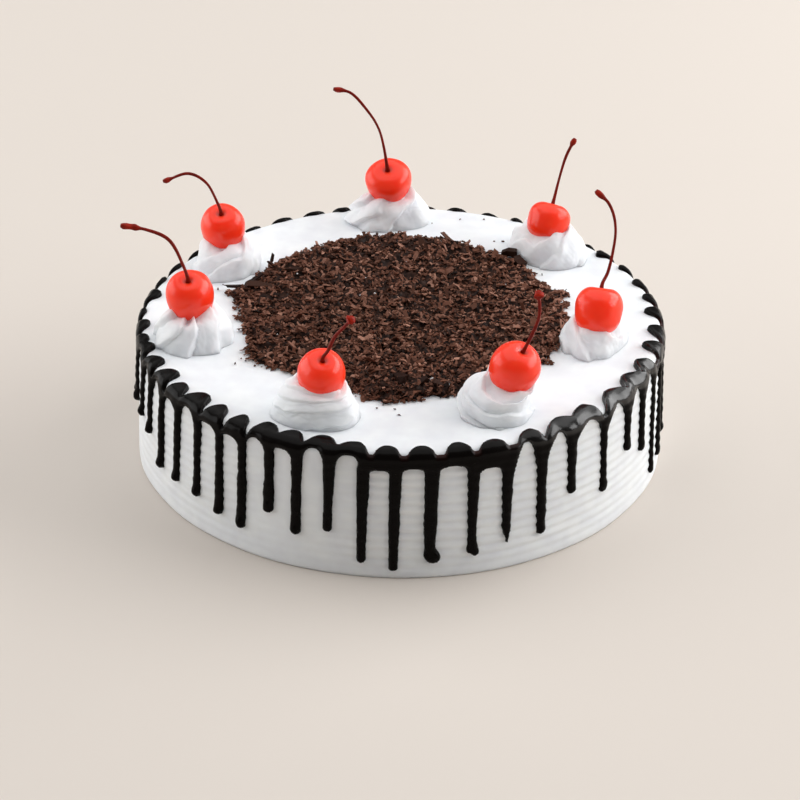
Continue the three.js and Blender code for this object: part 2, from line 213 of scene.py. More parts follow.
# Whipped cream, smoothed with a knife and combed, or piped: matt and milky, light sinks in
# and fills the folds. Its skin shows fine air bubbles.
cream = {
    "colour": "#F4F8FB",
    "shade": "#EBEEF2",
    "juice": "#F3A9A0",  # where cherry syrup has run, and a painted pink reflection of the cherry round its foot
    "patterns": [(9.0, 2.0), (0.7, 3.0)],  # paler and darker clouds, air bubbles
    "bumps": {"Strength": 0.12, "Distance": 0.1 * mm},
    "shader": {
        "Roughness": 0.48, "IOR": 1.36, "Specular IOR Level": 0.4,
        "Subsurface Weight": 0.6, "Subsurface Radius": (1.0, 0.98, 0.96),
    },
    "glow": 3.0 * mm,  # how deep the light sinks in
    "pipedGlow": 7.0 * mm,  # thin folds let more of it through
}


def paintCream(tree, clouds, bubbles):
    tone = addNode(tree, "ValToRGB", {
        "stops": [(0.3, linear(cream["shade"])), (0.7, linear(cream["colour"]))],
    }, {"Fac": clouds})
    # the pink mark is syrup in streaks, and a painted pink reflection of the cherry in a thin ring
    # round its foot
    stainAndBounce = addNode(tree, "Attribute", {"attribute_name": "juice"})
    colour = addNode(tree, "Mix", {"data_type": "RGBA", 7: linear(cream["juice"])},
                     {0: stainAndBounce.outputs["Fac"], 6: tone.outputs["Color"]})
    return {"Base Color": colour.outputs[2]}


# Dark ganache, poured and set: nearly black and smooth, with a painted sheen (a higher specular
# level) where the window light catches its shoulder on the right, and red-brown where it runs thin.
darkGanache = {
    "deep": "#080504",
    "thin": "#3A120D",
    "gloss": {"To Min": 0.2, "To Max": 0.3},
    "patterns": [(1.6, 2.0)],
    "bumps": {"Strength": 0.06, "Distance": 0.1 * mm},
    "shader": {"IOR": 1.4},
}


def paintGanache(tree, skin):
    thin = addNode(tree, "Attribute", {"attribute_name": "thin"})
    colour = addNode(tree, "Mix", {
        "data_type": "RGBA", 6: linear(darkGanache["deep"]), 7: linear(darkGanache["thin"]),
    }, {0: thin.outputs["Fac"]})
    # the specular level follows a painted sheen mark, high on the lit right side of the rim
    sheenLevel = addNode(tree, "Attribute", {"attribute_name": "shine"})
    gloss = addNode(tree, "MapRange", darkGanache["gloss"], {"Value": skin})
    return {"Base Color": colour.outputs[2], "Roughness": gloss.outputs["Result"],
            "Specular IOR Level": sheenLevel.outputs["Fac"]}


# Shaved dark chocolate: dull waxy chips, each a little lighter or darker than the next.
shavedChocolate = {
    "tones": [(0.0, "#1B0E09"), (0.55, "#6E4737"), (1.0, "#AB7E6B")],
    "patterns": [(0.5, 3.0)],
    "bumps": {"Strength": 0.3, "Distance": 0.1 * mm},
    "shader": {"Roughness": 0.5, "IOR": 1.45, "Specular IOR Level": 0.1},
}


def paintChocolate(tree, grain):
    tone = addNode(tree, "Attribute", {"attribute_name": "tone"})
    stops = [(place, linear(shade)) for place, shade in shavedChocolate["tones"]]
    colour = addNode(tree, "ValToRGB", {"stops": stops}, {"Fac": tone.outputs["Fac"]})
    return {"Base Color": colour.outputs["Color"]}


# Maraschino cherry in syrup: a clear vermilion skin under a thin glaze, with a faint painted glow
# inside.
glazedCherry = {
    "skin": "#FF2E0E",
    "pale": "#FF4220",
    # the dimple's colour is a painted shade in the hollow round the stem
    "dimple": "#3A0604",
    "patterns": [(9.0, 2.0)],  # paler patches
    "bumps": {"Strength": 0.05, "Distance": 0.2 * mm},
    "shader": {
        "Roughness": 0.4, "IOR": 1.4, "Specular IOR Level": 0.3,
        "Coat Weight": 0.5, "Coat Roughness": 0.16,
        "Subsurface Weight": 0.8, "Subsurface Radius": (1.0, 0.19, 0.07),
        # the emission is a painted glow, in place of light shining through the skin
        "Subsurface Scale": 4.0 * mm, "Emission Strength": 0.14,
    },
}


def paintCherry(tree, blush):
    skin = addNode(tree, "Mix", {
        "data_type": "RGBA", 6: linear(glazedCherry["skin"]), 7: linear(glazedCherry["pale"]),
    }, {0: blush})
    # painted shade darkens the dimple round the stem
    inner = addNode(tree, "Attribute", {"attribute_name": "dimple"})
    colour = addNode(tree, "Mix", {"data_type": "RGBA", 7: linear(glazedCherry["dimple"])},
                     {0: inner.outputs["Fac"], 6: skin.outputs[2]})
    return {"Base Color": colour.outputs[2]}


# Cherry stem soaked in syrup: woody, dark wine red, lighter where the syrup pools at the end.
soakedStem = {
    "dark": "#560D06",
    "light": "#BE2A12",
    "grainShare": 0.45,  # how much of the lighter red the grain brings out
    "patterns": [(2.5, 3.0)],
    "bumps": {"Strength": 0.3, "Distance": 0.15 * mm},
    "shader": {"Roughness": 0.4, "IOR": 1.45, "Specular IOR Level": 0.15},
}


def paintStem(tree, grain):
    along = addNode(tree, "Attribute", {"attribute_name": "ends"})
    share = addNode(tree, "Math", {"operation": "MULTIPLY_ADD", 1: soakedStem["grainShare"]},
                    {0: grain, 2: along.outputs["Fac"]})
    colour = addNode(tree, "Mix", {
        "data_type": "RGBA", 6: linear(soakedStem["dark"]), 7: linear(soakedStem["light"]),
    }, {0: share.outputs["Value"]})
    return {"Base Color": colour.outputs[2]}


# Pale seamless paper: flat and matt, with a faint fibre.
paper = {
    "colour": "#D9D0C7",
    "patterns": [(1.2, 2.0)],
    "bumps": {"Strength": 0.03, "Distance": 0.1 * mm},
    "shader": {"Roughness": 0.85},
}


def paintPaper(tree, fibre):
    # one plain colour, which the shader is given as it is
    return {}


creamFinish = makeMaterial("whippedCream", cream, paintCream, {"Subsurface Scale": cream["glow"]})
pipedFinish = makeMaterial("pipedCream", cream, paintCream,
                           {"Subsurface Scale": cream["pipedGlow"]})
ganacheCoat = makeMaterial("darkGanache", darkGanache, paintGanache)
chipFinish = makeMaterial("shavedChocolate", shavedChocolate, paintChocolate)
# the cherry's painted glow takes the skin's colour
cherryFinish = makeMaterial("glazedCherry", glazedCherry, paintCherry,
                            {"Emission Color": linear(glazedCherry["skin"])})
stemFinish = makeMaterial("soakedCherryStem", soakedStem, paintStem)
print("materials ready")


# The cream coat, one skin over the whole cake.
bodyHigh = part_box("cake_body")[1] / mm
cake = {
    "top": bodyHigh.z,
    "foot": bodyHigh.x,  # radius on a comb ridge at the foot
    "leanIn": 1.4,  # the side leans in by this at the top
    "edgeRound": 2.6,
    "bulge": 1.5,  # the cake stands out by this on its left
    "combPitch": 4.1,
    "combDepth": 0.6,
    "firstCrest": 2.2,  # height of the lowest ridge
    "unevenSide": 0.18,
    "unevenTop": 0.1,
    "columns": 580,
    "sideRows": 122,
}
cakeTop = cake["top"]
rimRadius = cake["foot"] - cake["leanIn"]
edgeMiddle = rimRadius - cake["edgeRound"]
girth = fullTurn * cake["foot"]


def sideRadius(z):
    return cake["foot"] - cake["leanIn"] * z / cakeTop


def leftBulge(azimuth, z):
    # the cake was smoothed by hand and stands out a little on its left
    fromLeft = np.degrees(azimuth) % 360 - 180
    rising = 0.35 + 0.65 * smoothStep(cakeTop, cakeTop - 16, z)
    return cake["bulge"] * bell(fromLeft, 38, 4) * rising


def combGroove(azimuth, z):
    # 0 on a ridge and 1 in a groove; the comb wavers a little on its way round
    waver = 0.25 * roundRipple(110, azimuth, 90, 3)
    wave = 0.5 - 0.5 * np.cos(fullTurn * (z - cake["firstCrest"] - waver) / cake["combPitch"])
    # it was pressed in less on the left, more in front, and not at all near the foot
    fromLeft = (np.degrees(azimuth) + 140 + 180) % 360 - 180
    pressed = 1 - 0.6 * bell(fromLeft, 40, 6)
    pressed = pressed + 0.45 * bell(np.degrees(azimuth) + 78, 22, 4)
    return wave ** 1.3 * smoothStep(54, 51, z) * smoothStep(0.2, 8, z) * pressed


def makeCreamCoat():
    azimuth = np.linspace(0, fullTurn, cake["columns"], endpoint=False)
    rows = [onCircle(radius, azimuth, 0.0) for radius in np.linspace(0, 106, 9)[1:]]
    rows.append(onCircle(sideRadius(0) - 1.0, azimuth, 0.0))
    depth = cake["combDepth"] * (0.8 + 0.35 * roundRipple(110, azimuth, 60, 8))
    for z in np.linspace(0.25, cakeTop - cake["edgeRound"], cake["sideRows"]):
        uneven = cake["unevenSide"] * ripple(onCircle(110, azimuth, z), 38, 21) - cake["unevenSide"]
        tuck = 0.5 * (1 - smoothStep(0, 1.2, z))
        radius = sideRadius(z) - depth * combGroove(azimuth, z) + uneven - tuck
        rows.append(onCircle(radius + leftBulge(azimuth, z), azimuth, z))
    for turn in np.radians(np.linspace(12, 90, 7)):
        z = cakeTop - cake["edgeRound"] * (1 - math.sin(turn))
        radius = edgeMiddle + cake["edgeRound"] * math.cos(turn) - 0.15
        rows.append(onCircle(radius + leftBulge(azimuth, z), azimuth, z))
    for radius in np.linspace(edgeMiddle - 2, 2, 24):
        rows.append(onCircle(radius, azimuth, cakeTop))
    points = np.array(rows)
    onTop = points[..., 2] > cakeTop - 0.01
    flatness = smoothStep(edgeMiddle, edgeMiddle - 8, np.hypot(points[..., 0], points[..., 1]))
    points[..., 2] -= onTop * flatness * (0.12 + cake["unevenTop"] * ripple(points[..., :2], 30, 5))
    middles = [[0, 0, 0], [0, 0, cakeTop - 0.12]]
    points = np.vstack([points.reshape(-1, 3), middles])
    makePiece("cream_coat", points, tubeFaces(len(rows), cake["columns"]), creamFinish,
              ["cake_body"])


makeCreamCoat()
print("cream coat done")


# The ganache, one closed skin: petals on the rim, which run down the side as drips.
ganache = {
    "thickness": 1.35,
    "rimThickness": 1.7,
    "petalThickness": 2.3,
    "petalEdge": 2.0,  # the petals round off over this width
    "dripEdge": 2.3,
    "creaseWidth": 1.2,
    "footBulge": 1.0,
    "sideLean": 0.017,  # the drips run down a little askew
    "sway": 0.2,
    "sunk": 0.9,  # the ganache's back lies this deep in the cream
    "cell": 0.48,
    "lowerCell": 0.62,
    "reach": (-5.6, 9, 54),  # the grid's start on the top, the end of its fine part, its end
    "backDrips": 25,
    "backPitch": 199 / 27,
}
# azimuth in degrees, height of the foot, width; then the gap to its right: how far below the
# top it starts, how far it takes to open, how square its shoulders are, how far its top leans
frontDrips = [
    (-172, 26.5, 4.2, 2.4, 6, 2, 0), (-164.2, 27.5, 4.2, 3, 6, 2, 0),
    (-158.3, 25.5, 4.3, 2.8, 7, 2, 0.1), (-152.1, 15.6, 4.4, 5.3, 3.5, 2.4, 0),
    (-145.3, 15.9, 4.5, 2.8, 6, 2, 0), (-138.2, 15.4, 4.6, 4.6, 3.2, 2.8, -0.2),
    (-131.5, 12.5, 4.6, 5.4, 3, 2.8, -0.2), (-125.3, 10.6, 4.6, 2.5, 5, 2.4, 0),
    (-118.5, 22.2, 5, 3.6, 3.5, 2.6, -0.2), (-112.1, 15.3, 5.1, 1.2, 7, 2.2, 0),
    (-105.1, 19.2, 4.9, 2, 5.5, 2.6, 0.25), (-97.9, 6.6, 5.3, 7.6, 1.8, 3.2, 0),
    (-91.2, 2.9, 5.4, 6.7, 2, 3.2, 0), (-83.6, 6.7, 6, 6.2, 3, 2.6, -0.1),
    (-74.7, 8.4, 5.4, 9.3, 3, 2.8, -0.12), (-67.1, 11.7, 5.4, 2.2, 12, 1.8, 0),
    (-58.9, 11.6, 5, 2.2, 9, 1.8, 0.1), (-51, 25.2, 4.6, 2, 9, 2, 0),
    (-41.2, 18.6, 4.6, 2.2, 9, 1.9, 0), (-32.2, 29.6, 4.5, 2.8, 8, 1.8, 0),
    (-24.9, 22.7, 4.4, 3, 8, 1.8, 0), (-17.8, 5.5, 4.5, 5.2, 4, 2.2, 0),
    (-10.9, 6.5, 4.4, 4.6, 4, 2.2, 0), (-5.6, 11.6, 4.4, 4.6, 4, 2.2, 0),
]
# drips whose foot is out of the ordinary: bend sideways, foot radius, length of the taper
oddFeet = {-83.6: (1.5, 3.6, 0), -74.7: (1.3, 2.2, 0), -67.1: (0.5, 0.7, 8)}
# Petals: azimuth of the tip, how far the tip lies out from the start of the rounded edge, then
# the valley after it: azimuth, how far out, and half of its width in degrees.
petals = [
    (-178.9, -1.9, -174.8, 2.6, 0.1), (-171.7, -1.4, -169.9, 0.6, 0),
    (-167.7, -2.8, -164.3, 2.4, 0.3), (-160.3, -3.8, -157.4, 3.6, 0.1),
    (-153.3, -5.6, -150.6, 3.8, 0.1), (-147.3, -4.1, -144.4, 1.4, 0), (-140.2, -6.4, -137, 2.3, 0),
    (-134, -5.8, -130.4, 3.8, 0.05), (-127.3, -5.4, -124.2, 3.2, 0.1),
    (-120.7, -6.5, -117.2, -1.6, 0), (-113.7, -5.6, -110.9, 0, 0), (-106.9, -6.2, -103.6, -1.1, 0),
    (-99.5, -4.3, -96.2, 1.5, 0.35), (-92.9, -2.9, -89.3, 1.6, 0.5), (-85.4, -2.8, -81.7, 1.6, 0.8),
    (-77.9, -3.5, -74.1, 1.6, 0.4), (-70, -2.3, -65.9, 1.7, 1), (-61.1, -3.2, -58.4, 2.2, 0),
    (-53.2, -4.3, -50, -1.6, 0), (-44.9, -5.4, -41.8, 3.4, 0.35), (-36.2, -5, -32, 0.1, 0),
    (-28, -5.4, -24, 0.2, 0), (-19.7, -5.1, -15.9, 3.2, 1.3), (-10.9, -5.1, -8.2, 2.6, 0.3),
    (-2.7, -3.7, 0.5, 3.2, 1.3), (5.7, -3.8, 8.4, 2.6, 0.5), (12.5, -1.9, 15.1, 3.2, 0.5),
    (19.9, -1.6, 23.3, 4.2, 0.9), (27.6, -0.8, 31.2, 4.2, 1), (35.6, -2.4, 38.8, 3.9, 0.3),
    (41.2, 1.2, 44.5, 4.2, 0.5), (48.5, -0.8, 52.2, 4.2, 0.6), (55.3, -0.4, 59.4, 4.2, 0.6),
    (62.2, -0.2, 65.2, 4.2, 0.7), (69.3, 1, 73, 4.2, 0.8), (77.2, -0.1, 80.6, 4.2, 0.5),
    (84, 1, 87.6, 4.2, 0.5), (91, 0.2, 94.4, 4.2, 0.5), (97.5, -0.4, 100.8, 4.2, 0.4),
    (104.3, -0.7, 107.3, 4.2, 0.2), (111, 0, 115, 4.2, 0.5), (119.5, 0.1, 123.2, 4.2, 0.7),
    (127, 0.8, 131.2, 4.2, 0.6), (135.5, -0.3, 139.8, 4.2, 0.5), (144.3, -0.4, 148.6, 4.2, 0.5),
    (153, 0, 156.6, 4.2, 0.5), (160, 0.4, 163.6, 4.2, 0.5), (167.5, -2.4, 171.6, 3.8, 0.6),
    (175.5, 0.5, 178.3, 4.2, 0.6),
]


def allDrips():
    # the drips out of sight fill the back evenly, with lengths drawn at random
    state = 11

    def draw(low, high):
        nonlocal state
        state = (state * 1664525 + 1013904223) % 2 ** 32
        return low + (high - low) * state / 2 ** 32

    back = []
    for i in range(ganache["backDrips"]):
        azimuth = frontDrips[-1][0] + (i + 1) * ganache["backPitch"] + draw(-0.5, 0.5)
        foot = draw(8, 28)
        back.append((azimuth, foot, 4.6, 2.6 + draw(1.3, 3), 4, 2.2, 0))
    return np.array(frontDrips + back, float)


def petalEdge(degrees):
    # how far out the ganache's inner edge lies at each azimuth, and its share of a petal's rise
    tips, reach, valleys, hollow, gap = np.array(petals).T
    bounds = np.append(valleys[-1] - 360, valleys)
    local = (degrees - bounds[0]) % 360 + bounds[0]
    which = np.clip(np.searchsorted(bounds, local, side="right") - 1, 0, len(tips) - 1)
    before = local < tips[which]
    valley = np.where(before, which - 1, which)
    width = np.where(before, tips[which] - bounds[which], bounds[which + 1] - tips[which])
    share = np.clip(np.abs(local - tips[which]) / (width - gap[valley]), 0, 1)
    # rounder petals on the left and in front, more pointed ones on the right
    blunt = 2.3 - 0.5 * smoothStep(-66, -54, local) * smoothStep(120, 60, local)
    hump = 1 - share ** blunt
    return hollow[valley] - (hollow[valley] - reach[which]) * hump, hump


def awayFromLine(arc, along, line, span=14):
    # distance from each grid point to the line over the arc, within span columns of it
    step = arc[1] - arc[0]
    nearest = np.full((len(arc), len(along)), 1e3)
    for k in range(-span, span):
        fromV = np.roll(line, -k)
        toV = np.roll(line, -k - 1)
        rise = toV - fromV
        length = step ** 2 + rise ** 2
        toU = -k * step
        toHere = along[None] - fromV[:, None]
        t = np.clip((toU * step + toHere * rise[:, None]) / length[:, None], 0, 1)
        nearest = np.minimum(nearest, np.hypot(toU - t * step, toHere - t * rise[:, None]))
    return nearest


def downEdge(drop):
    # length along the rounded edge and the side to a point this far below the top
    edge = cake["edgeRound"]
    onArc = edge * np.arccos(1 - np.clip(drop, 0, edge) / edge)
    return onArc + np.maximum(drop - edge, 0)


def overCake(azimuth, along, out):
    # the point that lies a length along the top, the rounded edge and the side, moved out from it
    edge = cake["edgeRound"]
    quarter = edge * math.pi / 2
    turn = np.clip(along, 0, quarter) / edge
    drop = np.maximum(along - quarter, 0)
    z = cakeTop - edge * (1 - np.cos(turn)) - drop
    lean = cake["leanIn"] * drop / cakeTop
    radius = edgeMiddle + np.minimum(along, 0) + edge * np.sin(turn) + lean
    radius = radius + leftBulge(azimuth, z) * smoothStep(-6, 0, along)
    lift = out * np.cos(turn)
    return onCircle(radius + out * np.sin(turn), azimuth, z + lift)


def roundTheCake(values):
    # the shorter way round, as a length
    return (values + girth / 2) % girth - girth / 2


def layOut(azimuth, along):
    # The ganache unrolled: u runs round the cake and v from the start of the rounded edge down
    # the side. These values are shared by its outline and its thickness.
    drips = allDrips()
    arc = cake["foot"] * azimuth
    u, v = np.meshgrid(arc, along, indexing="ij")
    degrees = np.degrees(u / cake["foot"])
    facing = -np.sin(u / cake["foot"])
    # the drips lean a little as they run down, apart from those in front
    lean = ganache["sideLean"] * np.maximum(v - 2, 0) / np.maximum(facing, 0.3)
    lean = lean * smoothStep(-0.2, 0.3, facing)
    return SimpleNamespace(
        arc=arc, along=along, u=u, v=v, degrees=degrees, facing=facing, drips=drips,
        leaned=u + lean * (1 - bell(degrees + 82, 28, 4)),
        narrow=bell(drips[:, 0] + 82, 26, 4),
        rightHand=smoothStep(-64, -50, drips[:, 0]),
        places=cake["foot"] * np.radians(drips[:, 0]),
        half=drips[:, 2] / 2,
        ends=downEdge(cakeTop - drips[:, 1]),
    )


def widerBy(g, i):
    # the drips in front are broad where they leave the rim, and narrow from the right
    down = np.clip((g.v - 8) / max(g.ends[i] - 8, 1), 0, 1)
    return g.narrow[i] * (0.8 * (1 - down) ** 2 - 1.3 * down)


def betweenDrips(g):
    # distance in from the gaps between the drips, which open like arches
    sway = ganache["sway"] * ripple(np.stack([g.u * 0.35, g.v], -1), 16, 31)
    lower = np.full_like(g.u, 6.0)
    count = len(g.drips)
    for i in range(count):
        after = (i + 1) % count
        pitch = (g.places[after] - g.places[i]) % girth
        start, opening, square, skew = g.drips[i, 3:]
        more = widerBy(g, i)
        wide = (pitch - g.half[i] - g.half[after] - more) / 2
        up = np.clip((downEdge(start) + opening - g.v) / opening, 0, 4)
        away = roundTheCake(g.leaned - g.places[i] - g.half[i] - more - wide)
        away = away - skew * wide * up
        upPower = 1.25 if square < 2 else square
        square = max(square, 2.0)
        aside = np.abs(away + sway * np.sign(away)) / wide
        gap = (aside ** square + up ** upPower) ** (1 / square) - 1
        lower = np.where(np.abs(away) < wide + 6, np.minimum(lower, gap * wide), lower)
    gu, gv = np.gradient(lower, g.arc, g.along)
    steep = np.maximum(np.hypot(gu, gv), 0.6)
    return np.where(g.v < 16, np.minimum(lower, lower / steep), lower)


def roundFeet(g, lower):
    # each drip ends in a round foot
    for i in range(len(g.drips)):
        slim = g.half[i] - 0.65 * g.narrow[i]
        plainFoot = (0, slim * (1.02 + 0.16 * g.rightHand[i]), 0)
        bend, foot, taper = oddFeet.get(round(g.drips[i, 0], 1), plainFoot)
        end = g.ends[i]
        shift = bend * smoothStep(end - 9, end, g.v)
        more = widerBy(g, i)
        across = roundTheCake(g.leaned - g.places[i])
        away = np.abs(across - more / 2 - shift)
        broad = g.half[i] + more / 2
        if taper:
            body = broad + (foot - broad) * smoothStep(end - taper, end - foot, g.v) - away
        else:
            swell = (foot - broad) * smoothStep(end - 7, end - foot, g.v)
            body = np.maximum(lower, broad + swell - away)
        cap = foot - np.hypot(away, np.maximum(g.v - (end - foot), 0))
        mine = (np.abs(across) < g.half[i] + 4) & (g.v > end - 9)
        lower = np.where(mine, np.minimum(body, np.where(g.v > end - foot, cap, 1e3)), lower)
    return lower


def ganacheThickness(g, upper, hump):
    # domed petals, a bead along the rim to the right, drips that swell at the foot
    v, degrees = g.v, g.degrees
    valley = 1 - hump[:, None]
    rim = ganache["rimThickness"]
    petal = ganache["petalThickness"]
    thickness = petal + (rim - petal) * smoothStep(-3.5, 1.5, v)
    rightSide = bell(degrees + 36, 26, 4)
    shoulder = 1.6 + 1.1 * smoothStep(1.5, -1.0, v - 1.8 * valley) + 0.1 * bell(v - 3, 1.2)
    thickness = thickness + rightSide * (shoulder - thickness)
    # painted sheen: the specular level is high along the rim on the right, where the window light
    # catches it, and low on the drips, in front and on the left
    shine = smoothStep(5.5, 2.5, v) * (0.06 + 0.9 * rightSide)
    shine = shine * (0.3 + 0.7 * smoothStep(-2.2, 0.2, v))
    thickness = thickness + (ganache["thickness"] - rim) * smoothStep(6, 12, v)
    # it has run thin between the petals in front, on the right and at the back
    crease = bell(upper, ganache["creaseWidth"]) * smoothStep(0.5, 0.95, valley)
    runThin = bell(degrees + 81, 17, 4) + bell(degrees + 2, 14, 4) + 0.5 * (g.facing < -0.2)
    thickness = thickness * (1 - 0.6 * np.minimum(runThin, 1) * crease)
    toEnd = np.full_like(g.u, 99.0)
    for i in range(len(g.drips)):
        mine = np.abs(roundTheCake(g.leaned - g.places[i])) < g.half[i] + 2.5
        toEnd = np.where(mine, g.ends[i] - v, toEnd)
    room = 0.25 + 0.75 * smoothStep(0.1, 0.75, -np.cos(g.u / cake["foot"]))
    thickness = thickness + ganache["footBulge"] * room * smoothStep(7, 2.5, toEnd)
    thickness += 0.06 * ripple(np.stack([g.u, v], -1), 6, 77)
    return thickness, np.clip(runThin * crease * 0.9, 0, 1), 0.08 + shine


def outlineFaces(target):
    # triangles over the part of the grid where the target is above 0; a quad cut by the outline
    # keeps its one good triangle
    columns, rows = target.shape
    number = np.arange(columns * rows).reshape(columns, rows)
    here = number[:, :-1]
    beside = np.roll(number, -1, axis=0)[:, :-1]
    quads = np.stack([here, here + 1, beside + 1, beside], -1).reshape(-1, 4)
    flat = target.ravel()
    inside = flat[quads] >= 0
    firstSplit = inside.all(1) | (inside[:, 1] != inside[:, 3])
    kept = []
    for n, corners in enumerate(([0, 1, 2], [0, 2, 3], [0, 1, 3], [1, 2, 3])):
        triangle = quads[:, corners]
        good = inside[:, corners].all(1) & (flat[triangle] > 0).any(1)
        kept.append(triangle[good & (firstSplit == (n < 2))])
    return np.vstack(kept)


def closeSkin(faces, onEdge):
    # Front and back meet on the outline, apart from where it pinches; open sides get a wall.
    # The back's points are numbered on from the front's.
    size = len(onEdge)
    starts = faces.ravel()
    ends = np.roll(faces, -1, axis=1).ravel()
    paired = np.isin(starts * size + ends, ends * size + starts)
    onEdge[starts[paired & onEdge[starts] & onEdge[ends]]] = False
    starts, ends = starts[~paired], ends[~paired]

    def back(corners):
        return np.where(onEdge[corners], corners, corners + size)

    walls = np.vstack([np.stack([ends, starts, back(starts)], -1),
                       np.stack([ends, back(starts), back(ends)], -1)])
    walls = walls[(walls[:, 0] != walls[:, 2]) & (walls[:, 1] != walls[:, 2])]
    return np.vstack([faces, back(faces)[:, ::-1], walls])


def makeGanache():
    cell = ganache["cell"]
    start, fineEnd, end = ganache["reach"]
    azimuth = np.linspace(-math.pi, math.pi, int(girth / cell), endpoint=False)
    fine = np.arange(start, fineEnd, cell)
    coarse = np.arange(fine[-1] + ganache["lowerCell"], end, ganache["lowerCell"])
    g = layOut(azimuth, np.concatenate([fine, coarse]))
    lower = roundFeet(g, betweenDrips(g))
    line, hump = petalEdge(np.degrees(azimuth))
    upper = awayFromLine(g.arc, g.along, line) * np.where(g.v > line[:, None], 1, -1)
    inFrom = np.minimum(lower, upper)
    round01 = np.clip(np.minimum(lower / ganache["dripEdge"], upper / ganache["petalEdge"]), 0, 1)
    thickness, thin, shine = ganacheThickness(g, upper, hump)

    # pull the grid on to the outline, and its second row on to a line that follows it
    gu, gv = np.gradient(inFrom, g.arc, g.along)
    steep = np.maximum(gu ** 2 + gv ** 2, 0.2)
    target = inFrom.copy()
    target[np.abs(inFrom) < cell * 0.5] = 0
    target[(inFrom >= cell * 0.5) & (inFrom < cell * 1.5)] = cell
    step = target - inFrom
    u = g.u + gu * step / steep
    v = g.v + gv * step / steep

    onEdge = target.ravel() == 0
    used = closeSkin(outlineFaces(target), onEdge)
    roundOff = np.sqrt(1 - (1 - round01) ** 2) * (target > 0)
    roundOff = np.where(onEdge.reshape(target.shape), roundOff, np.maximum(roundOff, 0.15))
    # the ganache has settled a little over the comb ridges
    height = cakeTop - cake["edgeRound"] - (g.v - cake["edgeRound"] * math.pi / 2)
    ridge = np.cos(fullTurn * (height - cake["firstCrest"]) / cake["combPitch"])
    ridge = ridge * smoothStep(5, 9, g.v)
    sunk = ganache["sunk"]
    out = -sunk + (thickness + sunk) * roundOff + 0.1 * ridge * roundOff
    outer = overCake(u / cake["foot"], v, out)
    inner = overCake(u / cake["foot"], v, np.full_like(out, -sunk))
    keep = np.unique(used)
    renumber = np.zeros(2 * target.size, int)
    renumber[keep] = np.arange(len(keep))
    points = np.vstack([outer.reshape(-1, 3), inner.reshape(-1, 3)])[keep]
    marks = {"thin": np.tile(thin.ravel(), 2)[keep], "shine": np.tile(shine.ravel(), 2)[keep]}
    makePiece("ganache_rim", points, renumber[used], ganacheCoat,
              ["ganache_drip"], marks)


makeGanache()
print("ganache done")


